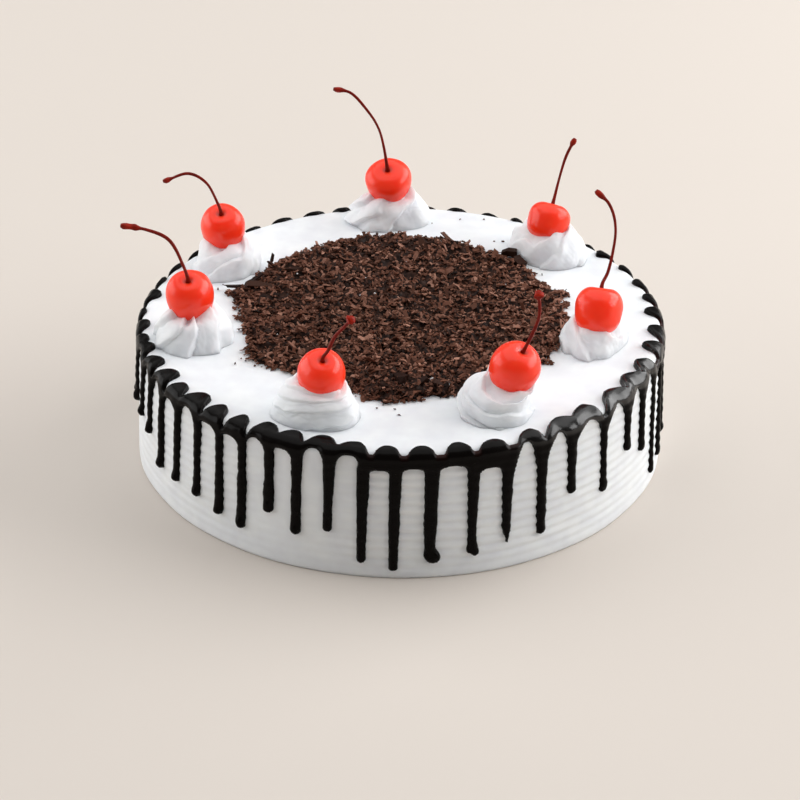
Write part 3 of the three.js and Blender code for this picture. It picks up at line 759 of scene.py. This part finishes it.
# The toppings, from the back and anticlockwise: a swirl of cream, its cherry and its stem.
# swirl: its middle, how far it reaches round the cake and towards the rim, its height
# folds: how many, how far they wind, where they start and which way their edges face
# crest: the share of the reach at which the crest runs; dip: how far it drops in front
# peaks: points that stand up beside the cherry, as direction, rise and width
# syrup: directions in which syrup runs down the cream
# cherry: squareness of its shoulders, the way it tips and by how much; tall: how far its
# upper and lower half are stretched
# stem: its steps from the cherry's middle; stout: its thickness; knobFrom: the share of its
# length at which the knob starts; knob: how large that is
usualTopping = {"crest": 0.47, "stout": 0.84, "knobFrom": 0.87, "knob": 1.0}
ownToppings = [
    {"swirl": (-6.5, 94.5, 18, 12.3, 13.5), "folds": (5, 1.6, 0.55, 1), "dip": -0.3,
     "peaks": [(20, 2.0, 0.25)], "syrup": [], "cherry": (2.15, -100, 24), "tall": (0.72, 1.02),
     "stem": [(-3.8, 1, 22.5), (-9.6, 4, 31.5), (-16.5, 7, 38.2), (-24.3, 8, 39.6)]},
    {"swirl": (-75.5, 50.5, 17, 14.8, 14.5), "folds": (5, 1.7, 0.0, -1), "dip": 1.1,
     "peaks": [(185, 1.5, 0.3)], "syrup": [-20, 15], "cherry": (2.2, -100, 22), "tall": (1.0, 1.1),
     "stem": [(-1.9, -2.4, 12.4), (-6.6, 0.5, 20.2), (-14, 3.5, 23.2), (-25.4, 5, 18.8)]},
    {"swirl": (-86, -12.7, 18.8, 16.4, 15), "folds": (8, 0.8, 0.2, 1), "dip": 1.4,
     "peaks": [(-15, 1.5, 0.3)], "syrup": [-35, -5], "cherry": (2.2, -95, 22), "tall": (1.04, 1.12),
     "stem": [(-2.2, -1.8, 14.6), (-8, 1, 24.8), (-16.8, 3, 28.2), (-27.55, 4.5, 29.4)],
     "stout": 0.95, "knobFrom": 0.79},
    {"swirl": (-33.4, -76, 17.4, 15.8, 14.5), "folds": (2, 4.2, 0.4, 1), "crest": 0.52, "dip": 0.5,
     "peaks": [(155, 3.5, 0.3)], "syrup": [-50], "cherry": (2.1, -80, 24), "tall": (0.98, 1.12),
     "stem": [(2.4, -4.6, 12.2), (5.6, -6.4, 19.8), (12.6, -8.5, 29.6)],
     "stout": 0.95, "knob": 1.9},
    {"swirl": (38.0, -72, 16.4, 15.4, 14), "folds": (3, -3.4, 0.2, 1), "crest": 0.56, "dip": 0.75,
     "peaks": [(143, 5, 0.22), (185, 5.5, 0.16)], "syrup": [], "cherry": (2.1, -35, 24),
     "tall": (1.0, 1.12), "stem": [(5.2, -3.5, 14.2), (8.4, -5.2, 24.2), (8.3, -6.5, 37.2)],
     "stout": 0.92, "knob": 1.8},
    {"swirl": (79.6, -16.4, 16, 14.0, 12.5), "folds": (4, -1.8, 0.5, 1), "dip": 0.3,
     "peaks": [(150, 2, 0.25)], "syrup": [-70], "cherry": (2.3, 75, 30), "tall": (0.95, 1.06),
     "stem": [(3.8, 8.5, 13), (6.4, 12.5, 29.4), (3.8, 16.5, 39.8), (-1.9, 19, 44.6)]},
    {"swirl": (63, 63.5, 18.4, 14.6, 13), "folds": (5, 1.6, 0.1, -1), "dip": -0.8,
     "peaks": [(200, 2, 0.25)], "syrup": [-20], "cherry": (2.3, 62, 30), "tall": (0.8, 1.0),
     "stem": [(3.9, 7.2, 14), (6.0, 8.4, 22.8), (10.5, 10, 33.6)]},
]
toppings = [{**usualTopping, **own} for own in ownToppings]
swirlShape = {
    "rows": 80,
    "columns": 208,
    "lip": 0.2,  # this share of the rows lines the hollow under the cherry
    "hollow": 0.08,  # the hollow's bottom, as a share of the reach
    "foldDepth": 2.2,
    "fineDepth": 0.15,
    "frontDip": 2.4,
    "towardsCherry": 0.9,  # the crest is pulled this share of the way under the cherry
    "wobble": 0.3,
    "sunk": 0.25,
}


def cherrySpot(number):
    low, high = (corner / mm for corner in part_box(f"cherry_{number}"))
    return np.array((low + high) / 2), (high.x - low.x) / 2


def foldedEdge(turns, soft=0.17):
    # rises slowly over each fold and drops sharply at its edge
    share = turns % 1
    return np.where(share < 1 - soft, (share / (1 - soft)) ** 1.35, smoothStep(1, 1 - soft, share))


def swirlProfile(t, crest):
    # reach and rise as shares: inside the hollow, over the crest, and down the outside
    lip, hollow = swirlShape["lip"], swirlShape["hollow"]
    drop = np.clip((t - lip) / (1 - lip), 0, 1) * math.pi / 2
    climb = np.clip(t / lip, 0, 1)
    share = drop * 2 / math.pi
    outside = crest + (1 - crest) * (0.6 * np.sin(drop) ** 0.85 + 0.4 * share)
    reach = np.where(t < lip, hollow + (crest - hollow) * climb, outside)
    rise = np.where(t < lip, 0.7 + 0.3 * np.sin(climb * math.pi / 2),
                    0.6 * np.cos(drop) ** 0.85 + 0.4 * (1 - share) ** 1.15)
    return reach, rise, np.where(t < lip, 0.0, np.sin(drop))


def swirlFolds(number, folds, mound, t, around):
    # how far the folds push each point out, and where it lies on its fold; they wind round as
    # they run down, and waver
    count, wind, phase, sense = folds
    turns = count * around / fullTurn + wind * t + phase
    turns = turns + 0.22 * ripple(mound, 17, 210 + number) + 0.035 * ripple(mound, 6, 220 + number)
    if sense < 0:
        turns = -turns
    big = np.random.default_rng(500 + number).uniform(0.55, 1.3, count)
    big = big[np.floor(turns).astype(int) % count]
    lobe = foldedEdge(turns)
    second = foldedEdge(turns * 2 + 0.35 + 0.25 * ripple(mound, 7, 230 + number), 0.3)
    push = swirlShape["foldDepth"] * big * (lobe - 0.62) + swirlShape["fineDepth"] * (second - 0.5)
    push = push + 0.2 * ripple(mound, 8, 240 + number) + 0.05 * ripple(mound, 2.6, 250 + number)
    return push * smoothStep(0.03, 0.25, t), lobe


def closeRoundCherry(co, number, topping, t):
    # the crest leans in under the cherry and closes round it
    columns, lip = swirlShape["columns"], swirlShape["lip"]
    x, y = topping["swirl"][:2]
    spot, size = cherrySpot(number)
    nearTop = np.repeat(smoothStep(0.62, lip, t)[:, 0], columns)
    co[:, :2] += swirlShape["towardsCherry"] * nearTop[:, None] * (spot[:2] - [x, y])
    heights = co[:, 2].reshape(-1, columns)
    crestHeight = heights[np.argmin(np.abs(t[:, 0] - lip))]
    below = np.where(t < lip, heights, crestHeight).ravel() - spot[2]
    below = below / (size * topping["tall"][1])
    touching = size * np.clip(1 - np.abs(below) ** 2.3, 0.05, 1) ** 0.5 + 0.6
    fromAxis = np.hypot(co[:, 0] - spot[0], co[:, 1] - spot[1])
    closer = np.maximum(fromAxis - touching, 0) * np.repeat(smoothStep(0.28, lip, t)[:, 0], columns)
    co[:, :2] -= closer[:, None] * (co[:, :2] - spot[:2]) / np.maximum(fromAxis, 0.1)[:, None]


def syrupStainAndPaintedBounce(co, number, topping):
    # a faint ring under the cherry, which is a painted pink reflection of it, and syrup streaks
    # away from it
    spot, size = cherrySpot(number)
    away = np.linalg.norm(co - spot, axis=1) - size
    stainAndBounce = 0.05 * np.exp(-np.maximum(away, 0) / 0.4)
    turn = np.arctan2(co[:, 1] - spot[1], co[:, 0] - spot[0])
    for direction in topping["syrup"]:
        bend = turnFrom(turn, math.radians(direction)) + 0.1 * np.sin(away * 1.3 + number)
        stainAndBounce = np.maximum(stainAndBounce, 0.4 * bell(bend, 0.14) * bell(np.maximum(away, 0), 4.0))
    return stainAndBounce


def makeSwirl(number, topping):
    x, y, across, deep, height = topping["swirl"]
    rows, columns, lip = swirlShape["rows"], swirlShape["columns"], swirlShape["lip"]
    t = np.linspace(0, 1, rows)[:, None]
    around = np.linspace(0, fullTurn, columns, endpoint=False)[None]
    reach, rise, tiltOut = swirlProfile(t, topping["crest"])
    rise = height * rise
    mound = onCircle(reach * across, around, rise)
    push, lobe = swirlFolds(number, topping["folds"], mound, t, around)
    uneven = 1 + 0.05 * np.sin(around * 2 + number * 2.1) + 0.035 * np.sin(around * 3 + number)
    radius = reach * across * uneven + push * tiltOut
    z = rise * (1 + 0.05 * np.sin(around + number)) + push * (1 - tiltOut * 0.75)
    # the folds end in small points round the cherry, lower at the front
    z = z + (lobe - 0.5) * bell(t - 0.23, 0.07)
    dip = swirlShape["frontDip"] * topping["dip"]
    z = z - dip * bell(turnFrom(around, -math.pi / 2), 1.0) * bell(t - lip, 0.24)
    for direction, more, wide in topping["peaks"]:
        turn = turnFrom(around, math.radians(direction))
        z = z + more * bell(np.abs(turn), wide, 1.3) * bell(t - 0.24, 0.09)
    foot = -swirlShape["sunk"]
    z = np.where(t > 0.999, foot, np.maximum(z, foot + 0.4 * (1 - t)))
    # squeeze it towards the rim, and turn it to face out from the cake
    azimuth = math.atan2(y, x)
    outwards = radius * np.cos(around - azimuth) * deep / across
    sideways = radius * np.sin(around - azimuth)
    co = np.stack([x + outwards * math.cos(azimuth) - sideways * math.sin(azimuth),
                   y + outwards * math.sin(azimuth) + sideways * math.cos(azimuth),
                   cakeTop + z], -1).reshape(-1, 3)
    lift = smoothStep(0, 3, co[:, 2] - cakeTop)
    for axis, seed in enumerate((60, 80, 40)):
        co[:, axis] += swirlShape["wobble"] * lift * ripple(co, 11, seed + number)
    closeRoundCherry(co, number, topping, t)
    co = np.vstack([co, [[x, y, cakeTop + height * 0.5], [x, y, cakeTop + foot]]])
    makePiece(f"cream_swirl_{number}", co, tubeFaces(rows, columns)[:, ::-1], pipedFinish,
              [f"rosette_{number}"], {"juice": syrupStainAndPaintedBounce(co, number, topping)})


for number, topping in enumerate(toppings, 1):
    makeSwirl(number, topping)
print("swirls done")


cherryShape = {
    "around": 72,
    "rows": 48,
    "fuller": 0.5,  # its lower half is squarer by this
    "dimple": 0.21,
    "dimpleWidth": 0.31,
    "dimpleShadeWidth": 0.2,  # painted shade: the dimple is dark this far from its middle
    "taper": 0.05,
    "uneven": 0.018,
    "seam": 0.012,
}


def cherryAxis(topping):
    _, tipTo, tip = (math.radians(angle) for angle in topping["cherry"])
    return onCircle(math.sin(tip), tipTo, math.cos(tip))


def makeCherry(number, topping):
    spot, radius = cherrySpot(number)
    rows, columns = cherryShape["rows"], cherryShape["around"]
    down = np.linspace(0, math.pi, rows)[:, None]
    around = np.linspace(0, fullTurn, columns, endpoint=False)[None]
    square = topping["cherry"][0] + cherryShape["fuller"] * smoothStep(1.4, 2.2, down)
    reach = (np.abs(np.sin(down)) ** square + np.abs(np.cos(down)) ** square) ** (-1 / square)
    dent = bell(down, cherryShape["dimpleWidth"])
    reach = reach * (1 - cherryShape["dimple"] * dent)
    direction = onCircle(np.sin(down), around, np.cos(down))
    uneven = 1 + cherryShape["uneven"] * ripple(direction * 10, 14, 100 + number) * (1 - dent)
    # a faint seam runs down one side
    fromSeam = (around - 1.2 * number) % fullTurn - math.pi
    uneven = uneven - cherryShape["seam"] * np.exp(-fromSeam ** 2 / 0.02) * np.sin(down)
    points = direction * (reach * uneven * radius)[..., None]
    points[..., :2] *= 1 - cherryShape["taper"] * smoothStep(1.4, 2.9, down)[..., None]
    high, low = topping["tall"]
    points[..., 2] *= np.where(down < math.pi / 2, high, low)
    turn = Vector((0, 0, 1)).rotation_difference(Vector(cherryAxis(topping))).to_matrix()
    points = points @ np.array(turn).T + spot
    # painted shade in the dimple round the stem
    inner = np.broadcast_to(bell(down, cherryShape["dimpleShadeWidth"]), (rows, columns))
    # from the bottom up; the first and last row are one point each
    rings = np.vstack([points[-2:0:-1].reshape(-1, 3), points[[-1, 0], 0]])
    marks = np.concatenate([inner[-2:0:-1].ravel(), inner[[-1, 0], 0]])
    makePiece(f"glazed_cherry_{number}", rings, tubeFaces(rows - 2, columns), cherryFinish,
              [f"cherry_{number}"], {"dimple": marks})


stemShape = {
    "radius": 0.72,
    "steps": 110,
    "sides": 14,
    "rootFlare": 1.1,  # thicker by this where it leaves the cherry
    "knobSwell": 0.95,
    "wander": 0.18,
}


def makeStem(number, topping):
    spot, radius = cherrySpot(number)
    steps, sides = stemShape["steps"], stemShape["sides"]
    start = cherryAxis(topping) * radius * topping["tall"][0]
    line = smoothLine([start * 0.7, start * 1.08, *topping["stem"]], steps)
    share = np.linspace(0, 1, steps)
    around = np.linspace(0, fullTurn, sides, endpoint=False)
    wander = np.stack([np.sin(share * 13 + number), np.cos(share * 11), 0 * share], -1)
    line = line + stemShape["wander"] * wander * share[:, None]
    knobFrom = topping["knobFrom"]
    knob = smoothStep(knobFrom, knobFrom + 0.08, share)
    knob = knob * (1 - 0.75 * smoothStep(0.965, 1, share) ** 2) * topping["knob"]
    thick = stemShape["radius"] * topping["stout"] * (
        1 + stemShape["rootFlare"] * np.exp(-share / 0.05) + 0.1 * np.sin(share * 9 + number)
        + stemShape["knobSwell"] * knob)
    ribs = 1 + 0.05 * np.cos(5 * around[None] + number) + knob[:, None] * (
        0.12 * np.cos(3 * around[None] + 2 + 30 * share[:, None])
        + 0.06 * np.cos(2 * around[None] + number - 55 * share[:, None]))
    points, faces = sweep(line, thick[:, None] * ribs)
    ends = 0.35 * knob * (0.6 + 0.4 * np.sin(share * 60 + number))
    marks = np.concatenate([np.repeat(ends, sides), [0, 0.3]])
    makePiece(f"stem_{number}", points + spot, faces, stemFinish,
              [f"cherry_stem_{number}"], {"ends": marks})


for number, topping in enumerate(toppings, 1):
    makeCherry(number, topping)
    makeStem(number, topping)
print("cherries done")


# The shavings: a lumpy bed, with loose chips lying on it.
patch = {
    "bed": 2.3,  # height of the bed under the loose chips
    "lumps": [(0.55, 9, 14), (0.6, 4.2, 15), (0.3, 2.2, 16)],  # height, size and seed
    "rows": 74,
    "columns": 420,
    "sunk": 0.3,
    "chips": 9000,
    "scatter": (-0.25, 0.75),  # how far a chip's middle lies above the bed
    "edgeShare": 0.07,  # this share of the chips lies along the patch's edge
    "edgeBand": (0.96, 1.012),
    "bigShare": 0.05,  # this share is larger than the rest
    "bigScale": 0.9,
    "paintedWindowLight": 0.12,  # painted light: the chips are paler by this towards the window on the right
    "paintedFrontShade": 0.16,  # painted shade: and darker by this along the front
}
# how far the patch reaches from the cake's middle, by azimuth
patchEdge = [
    (0, 69), (14, 71), (20, 74), (30, 68), (45, 72), (60, 74), (75, 76), (90, 78.5), (105, 78),
    (120, 76), (135, 75), (150, 73), (156, 71), (161, 78), (167, 71), (172, 69), (180, 67),
    (190, 65.5), (200, 67), (207, 70.5), (214, 68.5), (220, 64), (230, 62), (240, 63), (255, 64),
    (265, 69), (275, 65), (285, 65), (300, 67), (315, 68), (325, 67), (340, 67), (350, 68),
]


def patchReach(azimuth):
    places, reaches = zip(*patchEdge)
    reach = np.interp(np.degrees(azimuth) % 360, places, reaches, period=360)
    return reach + 1.1 * roundRipple(70, azimuth, 7, 9) + 0.7 * roundRipple(70, azimuth, 3.2, 10)


def clearOfSwirls(x, y, room):
    free = np.ones(np.shape(x), bool)
    for topping in toppings:
        sx, sy, across, deep, _ = topping["swirl"]
        azimuth = math.atan2(sy, sx)
        outwards = (x - sx) * math.cos(azimuth) + (y - sy) * math.sin(azimuth)
        sideways = -(x - sx) * math.sin(azimuth) + (y - sy) * math.cos(azimuth)
        free &= np.hypot(outwards / (deep + room), sideways / (across + room)) > 1
    return free


def bedHeight(x, y):
    height = patch["bed"]
    for rise, size, seed in patch["lumps"]:
        height = height + rise * ripple(np.stack([x, y], -1), size, seed)
    return height


def makeBed():
    columns = patch["columns"]
    azimuth = np.linspace(0, fullTurn, columns, endpoint=False)
    shares = np.concatenate([[1.0, 0.995, 0.985, 0.97], np.linspace(0.95, 0.03, patch["rows"])])
    rows = []
    for share in shares:
        reach = (patchReach(azimuth) - 1.0) * share
        x, y = reach * np.cos(azimuth), reach * np.sin(azimuth)
        lift = smoothStep(1.0, 0.955, share) * bedHeight(x, y)
        rows.append(np.stack([x, y, cakeTop + lift], -1))
    rows[0][:, 2] = cakeTop - patch["sunk"]
    points = np.array(rows).reshape(-1, 3)
    under = ~clearOfSwirls(points[:, 0], points[:, 1], -1.5)
    points[under, 2] = cakeTop - patch["sunk"]
    middles = [[0, 0, cakeTop - patch["sunk"]], [0, 0, cakeTop + patch["bed"]]]
    points = np.vstack([points, middles])
    # painted shade: the bed is kept near black, standing in for the shade in the gaps between the
    # chips
    tone = np.clip(0.04 + 0.08 * ripple(points, 2.5, 18), 0, 1)
    makePiece("shavings_bed", points, tubeFaces(len(shares), columns), chipFinish,
              ["chocolate_shavings"], {"tone": tone})


chipShape = {
    "length": (1.1, 3.8),
    "width": (0.6, 1.6),
    "thickness": (0.28, 0.6),
    "bend": 2.4,  # how far a chip curls from end to end, in radians
    "endTaper": (0.45, 1.0),
    "middleTaper": (0.85, 1.1),
    "skew": 0.25,
    "ragged": 0.12,
    "tone": (0.47, 0.25),  # middle and spread of the chips' tones, from dark 0 to pale 1
    "lowest": 0.02,  # no corner lies lower than this over the cream
}


def chipMeshes(spots, sizes, tilts, yaws, bends, draw):
    # bent slivers: three sections of four corners each
    count = len(spots)
    along = np.array([-0.5, 0.0, 0.5])
    length, width, thick = sizes.T
    points = np.empty((count, 3, 4, 3))
    for s in range(3):
        taper = draw.uniform(*chipShape["middleTaper" if s == 1 else "endTaper"], count)
        skewed = draw.uniform(-chipShape["skew"], chipShape["skew"], count) * width
        angle = bends * along[s]
        straight = np.abs(bends) <= 0.05
        x = length * np.sin(angle) / np.where(bends == 0, 1, bends)
        x = np.where(straight, along[s] * length, x)
        z = length * (1 - np.cos(angle)) / np.where(np.abs(bends) < 0.05, 1e9, bends)
        for c, (side, up) in enumerate([(-0.5, -0.5), (0.5, -0.5), (0.5, 0.5), (-0.5, 0.5)]):
            ragged = draw.uniform(-chipShape["ragged"], chipShape["ragged"], count) * length
            points[:, s, c, 0] = x - up * thick * np.sin(angle) + ragged
            points[:, s, c, 1] = side * width * taper + skewed
            points[:, s, c, 2] = z + up * thick * np.cos(angle)
    points = points.reshape(count, 12, 3)
    (cx, cy), (sx, sy) = np.cos(tilts.T), np.sin(tilts.T)
    cz, sz = np.cos(yaws), np.sin(yaws)
    turn = np.empty((count, 3, 3))
    turn[:, 0] = np.stack([cz * cy, cz * sy * sx - sz * cx, cz * sy * cx + sz * sx], -1)
    turn[:, 1] = np.stack([sz * cy, sz * sy * sx + cz * cx, sz * sy * cx - cz * sx], -1)
    turn[:, 2] = np.stack([-sy, cy * sx, cy * cx], -1)
    points = np.einsum("nij,nkj->nki", turn, points) + spots[:, None]
    points[..., 2] = np.maximum(points[..., 2], cakeTop + chipShape["lowest"])
    quads = [[3, 2, 1, 0], [8, 9, 10, 11]]
    for s in (0, 4):
        quads += [[s + c, s + (c + 1) % 4, s + (c + 1) % 4 + 4, s + c + 4] for c in range(4)]
    faces = (np.array(quads)[None] + 12 * np.arange(count)[:, None, None]).reshape(-1, 4)
    return points.reshape(-1, 3), faces


def makeChips(name, spots, draw, scale=1.0, steep=0.42, tones=(0.0, 1.0), shade=0.0,
              finish=chipFinish):
    # scale is one number, or one for each chip; steep is how far the chips tip; shade is painted
    # light and shade added to their tones, which then fill the given range
    count = len(spots)
    shortest, longest = chipShape["length"]
    length = draw.uniform(0, 1, count) ** 1.6 * (longest - shortest) + shortest
    sizes = np.stack([length, draw.uniform(*chipShape["width"], count),
                      draw.uniform(*chipShape["thickness"], count)], -1)
    sizes[:, :2] *= np.reshape(scale, (-1, 1))
    tilts = draw.normal(0, steep, (count, 2))
    yaws = draw.uniform(0, fullTurn, count)
    bends = draw.uniform(-chipShape["bend"], chipShape["bend"], count)
    points, faces = chipMeshes(spots, sizes, tilts, yaws, bends, draw)
    tone = np.clip(draw.normal(*chipShape["tone"], count) + shade, 0, 1)
    tone = np.repeat(tone * (tones[1] - tones[0]) + tones[0], 12)
    makePiece(name, points, faces, finish, (), {"tone": tone}, smooth=False)


def makeShavings():
    draw = np.random.default_rng(23)
    count = patch["chips"]
    azimuth = draw.uniform(0, fullTurn, count * 2)
    share = np.sqrt(draw.uniform(0, 1, count * 2))
    edge = draw.uniform(0, 1, count * 2) < patch["edgeShare"]
    share[edge] = draw.uniform(*patch["edgeBand"], edge.sum())
    reach = patchReach(azimuth) * share
    x, y = reach * np.cos(azimuth), reach * np.sin(azimuth)
    free = clearOfSwirls(x, y, 0.4)
    x, y, share = x[free][:count], y[free][:count], share[free][:count]
    fall = smoothStep(1.0, 0.95, share)
    above = bedHeight(x, y) + draw.uniform(*patch["scatter"], len(x))
    z = cakeTop + fall * above + (1 - fall) * 0.5
    scale = 1 + patch["bigScale"] * (draw.uniform(0, 1, len(x)) < patch["bigShare"])
    # painted light and shade: the chips are paler towards the window on the right and darker along
    # the front
    shade = patch["paintedWindowLight"] * smoothStep(30, 60, x)
    shade = shade - patch["paintedFrontShade"] * smoothStep(-40, -58, y)
    makeChips("chocolate_shavings_loose", np.stack([x, y, z], -1), draw, scale, shade=shade)


crumbs = {
    "scale": (0.3, 0.62),
    "tones": (0.0, 0.6),
    "steep": 0.15,
    "nearPatch": 34,  # so many lie at random just outside the patch
    "outside": (0.6, 2.6),  # and this far from it
    # the others: x and y
    "spots": [
        (-9.7, -72.2), (-7.3, -69.2), (-2.8, -66.5), (-2.5, -73.1), (-0.8, -77.5), (-78.0, 28.2),
        (-76.1, 32.8), (-72.4, 34.0), (-68.6, 36.5), (-67.9, -36.2), (-65.6, -31.9), (25.7, 95.3),
        (13.3, 91.3), (36.3, 95.5), (40.3, 74.2), (44.2, 74.2), (60.2, 43.3),
    ],
}


def makeCrumbs():
    draw = np.random.default_rng(31)
    spots = [[x, y, cakeTop + 0.3] for x, y in crumbs["spots"]]
    for azimuth in draw.uniform(0, fullTurn, crumbs["nearPatch"]):
        reach = patchReach(np.array([azimuth]))[0] + draw.uniform(*crumbs["outside"])
        spots.append([reach * math.cos(azimuth), reach * math.sin(azimuth), cakeTop + 0.25])
    spots = np.array(spots)
    spots = spots[clearOfSwirls(spots[:, 0], spots[:, 1], 1.0)]
    makeChips("loose_crumbs", spots, draw, draw.uniform(*crumbs["scale"], len(spots)),
              steep=crumbs["steep"], tones=crumbs["tones"])


flakeShape = {"roll": 12, "bend": 0.6, "tone": (0, 0.12)}  # drawn at random up to these
# big dark flakes and lumps: x, y, height over the top, length, width, direction, tilt, thickness
bigFlakes = [
    (-67, 26.5, 2.6, 16, 3.2, 172, 4, 0.8), (-60, 27, 3.2, 12, 4.0, 15, 12, 0.8),
    (-63, 33, 2.6, 8, 2.6, 40, -14, 0.8), (-56, 49, 3.2, 6, 1.6, 70, -48, 0.6),
    (-47, 42, 3.4, 8, 4.2, 150, 16, 1.0), (-66, 18, 2.4, 8, 3.4, 110, 10, 0.8),
    (46.5, 59, 2.6, 7, 4.2, 160, 14, 2.6), (51, 52, 2.2, 6, 4.4, 130, -12, 2.2),
    (-0.8, -53, 3.2, 8, 5.0, 95, 14, 2.4), (7, -56, 2.8, 8, 4.0, 20, -18, 1.8),
    (-8, -58, 2.2, 7, 3.2, 150, 14, 1.6), (17, -56.5, 2.4, 8, 3.4, 10, 12, 1.8),
    (-45.4, -55.6, 1.4, 3.4, 2.8, 40, -50, 0.7),
]


def makeFlakes():
    draw = np.random.default_rng(41)
    flakes = np.array(bigFlakes, float)
    count = len(flakes)
    spots = flakes[:, :3] + [0, 0, cakeTop]
    roll = draw.uniform(-flakeShape["roll"], flakeShape["roll"], count)
    tilts = np.radians(np.stack([roll, flakes[:, 6]], -1))
    bends = draw.uniform(-flakeShape["bend"], flakeShape["bend"], count)
    points, faces = chipMeshes(spots, flakes[:, [3, 4, 7]], tilts, np.radians(flakes[:, 5]),
                               bends, draw)
    tone = np.repeat(draw.uniform(*flakeShape["tone"], count), 12)
    makePiece("big_flakes", points, faces, chipFinish, (), {"tone": tone},
              smooth=False)


# flecks of cream on the patch
creamSpecks = {"count": 9, "reach": 62, "height": 3.4, "scale": 0.42}


def makeSpecks():
    draw = np.random.default_rng(77)
    count = creamSpecks["count"]
    azimuth = draw.uniform(0, fullTurn, count)
    reach = creamSpecks["reach"] * np.sqrt(draw.uniform(0, 1, count))
    spots = onCircle(reach, azimuth, cakeTop + creamSpecks["height"])
    makeChips("cream_specks", spots, draw, creamSpecks["scale"], finish=creamFinish)


makeBed()
makeShavings()
makeCrumbs()
makeFlakes()
makeSpecks()
print("shavings done")


# Floor, light and camera, in metres, watts and degrees.
studio = {
    "floorHalf": 40.0,
    "world": "#FFFFFF",
    "worldStrength": 0.14,
    "lampsAimAt": (0, 0, 0.04),
    # name: where it stands, its width and height, power, colour
    "lamps": {
        "windowRight": ((1.4, 0.3, 0.73), (2.2, 1.0), 27, "#FFFFFF"),
        "overhead": ((0.0, 0.4, 1.8), (3.0, 3.0), 33, "#FFFFFF"),
        "fillLeft": ((-1.55, 0.3, 0.5), (2.0, 1.2), 18, "#FFFFFF"),
    },
}
camera = {
    "lens": 149.985,
    "sensor": 36,
    "distance": 1.4216,
    "elevation": 30.5,
    "roll": 0.27,
    "shift": (-0.00104, 0.04885),
    "farthest": 100,
}


def makeFloor():
    half = studio["floorHalf"]
    mesh = bpy.data.meshes.new("floor")
    corners = [(-half, -half, 0), (half, -half, 0), (half, half, 0), (-half, half, 0)]
    mesh.from_pydata(corners, [], [(0, 1, 2, 3)])
    floor = bpy.data.objects.new("floor", mesh)
    bpy.context.scene.collection.objects.link(floor)
    mesh.materials.append(makeMaterial("seamlessPaper", paper, paintPaper,
                                       {"Base Color": linear(paper["colour"])}))


def makeLights():
    world = bpy.data.worlds.new("studio")
    bpy.context.scene.world = world
    world.use_nodes = True
    backdrop = world.node_tree.nodes["Background"]
    backdrop.inputs["Color"].default_value = linear(studio["world"])
    backdrop.inputs["Strength"].default_value = studio["worldStrength"]
    for name, (spot, size, power, colour) in studio["lamps"].items():
        lamp = bpy.data.lights.new(name, "AREA")
        lamp.shape = "RECTANGLE"
        lamp.size, lamp.size_y = size
        lamp.energy = power
        lamp.color = linear(colour)[:3]
        holder = bpy.data.objects.new(name, lamp)
        bpy.context.scene.collection.objects.link(holder)
        holder.location = spot
        aim = Vector(studio["lampsAimAt"]) - Vector(spot)
        holder.rotation_euler = aim.to_track_quat("-Z", "Y").to_euler()


def makeCamera():
    lens = bpy.data.cameras.new("camera")
    lens.sensor_width = camera["sensor"]
    lens.lens = camera["lens"]
    lens.shift_x, lens.shift_y = camera["shift"]
    lens.clip_end = camera["farthest"]
    tilt = math.radians(camera["elevation"])
    back = Vector((0, -math.cos(tilt), math.sin(tilt)))
    holder = bpy.data.objects.new("camera", lens)
    bpy.context.scene.collection.objects.link(holder)
    turn = back.to_track_quat("Z", "Y").to_matrix()
    turn = turn @ Matrix.Rotation(math.radians(camera["roll"]), 3, "Z")
    holder.matrix_world = Matrix.Translation(back * camera["distance"]) @ turn.to_4x4()
    bpy.context.scene.camera = holder


makeFloor()
makeLights()
makeCamera()
bpy.context.scene.view_settings.view_transform = "Standard"
print("stage ready")
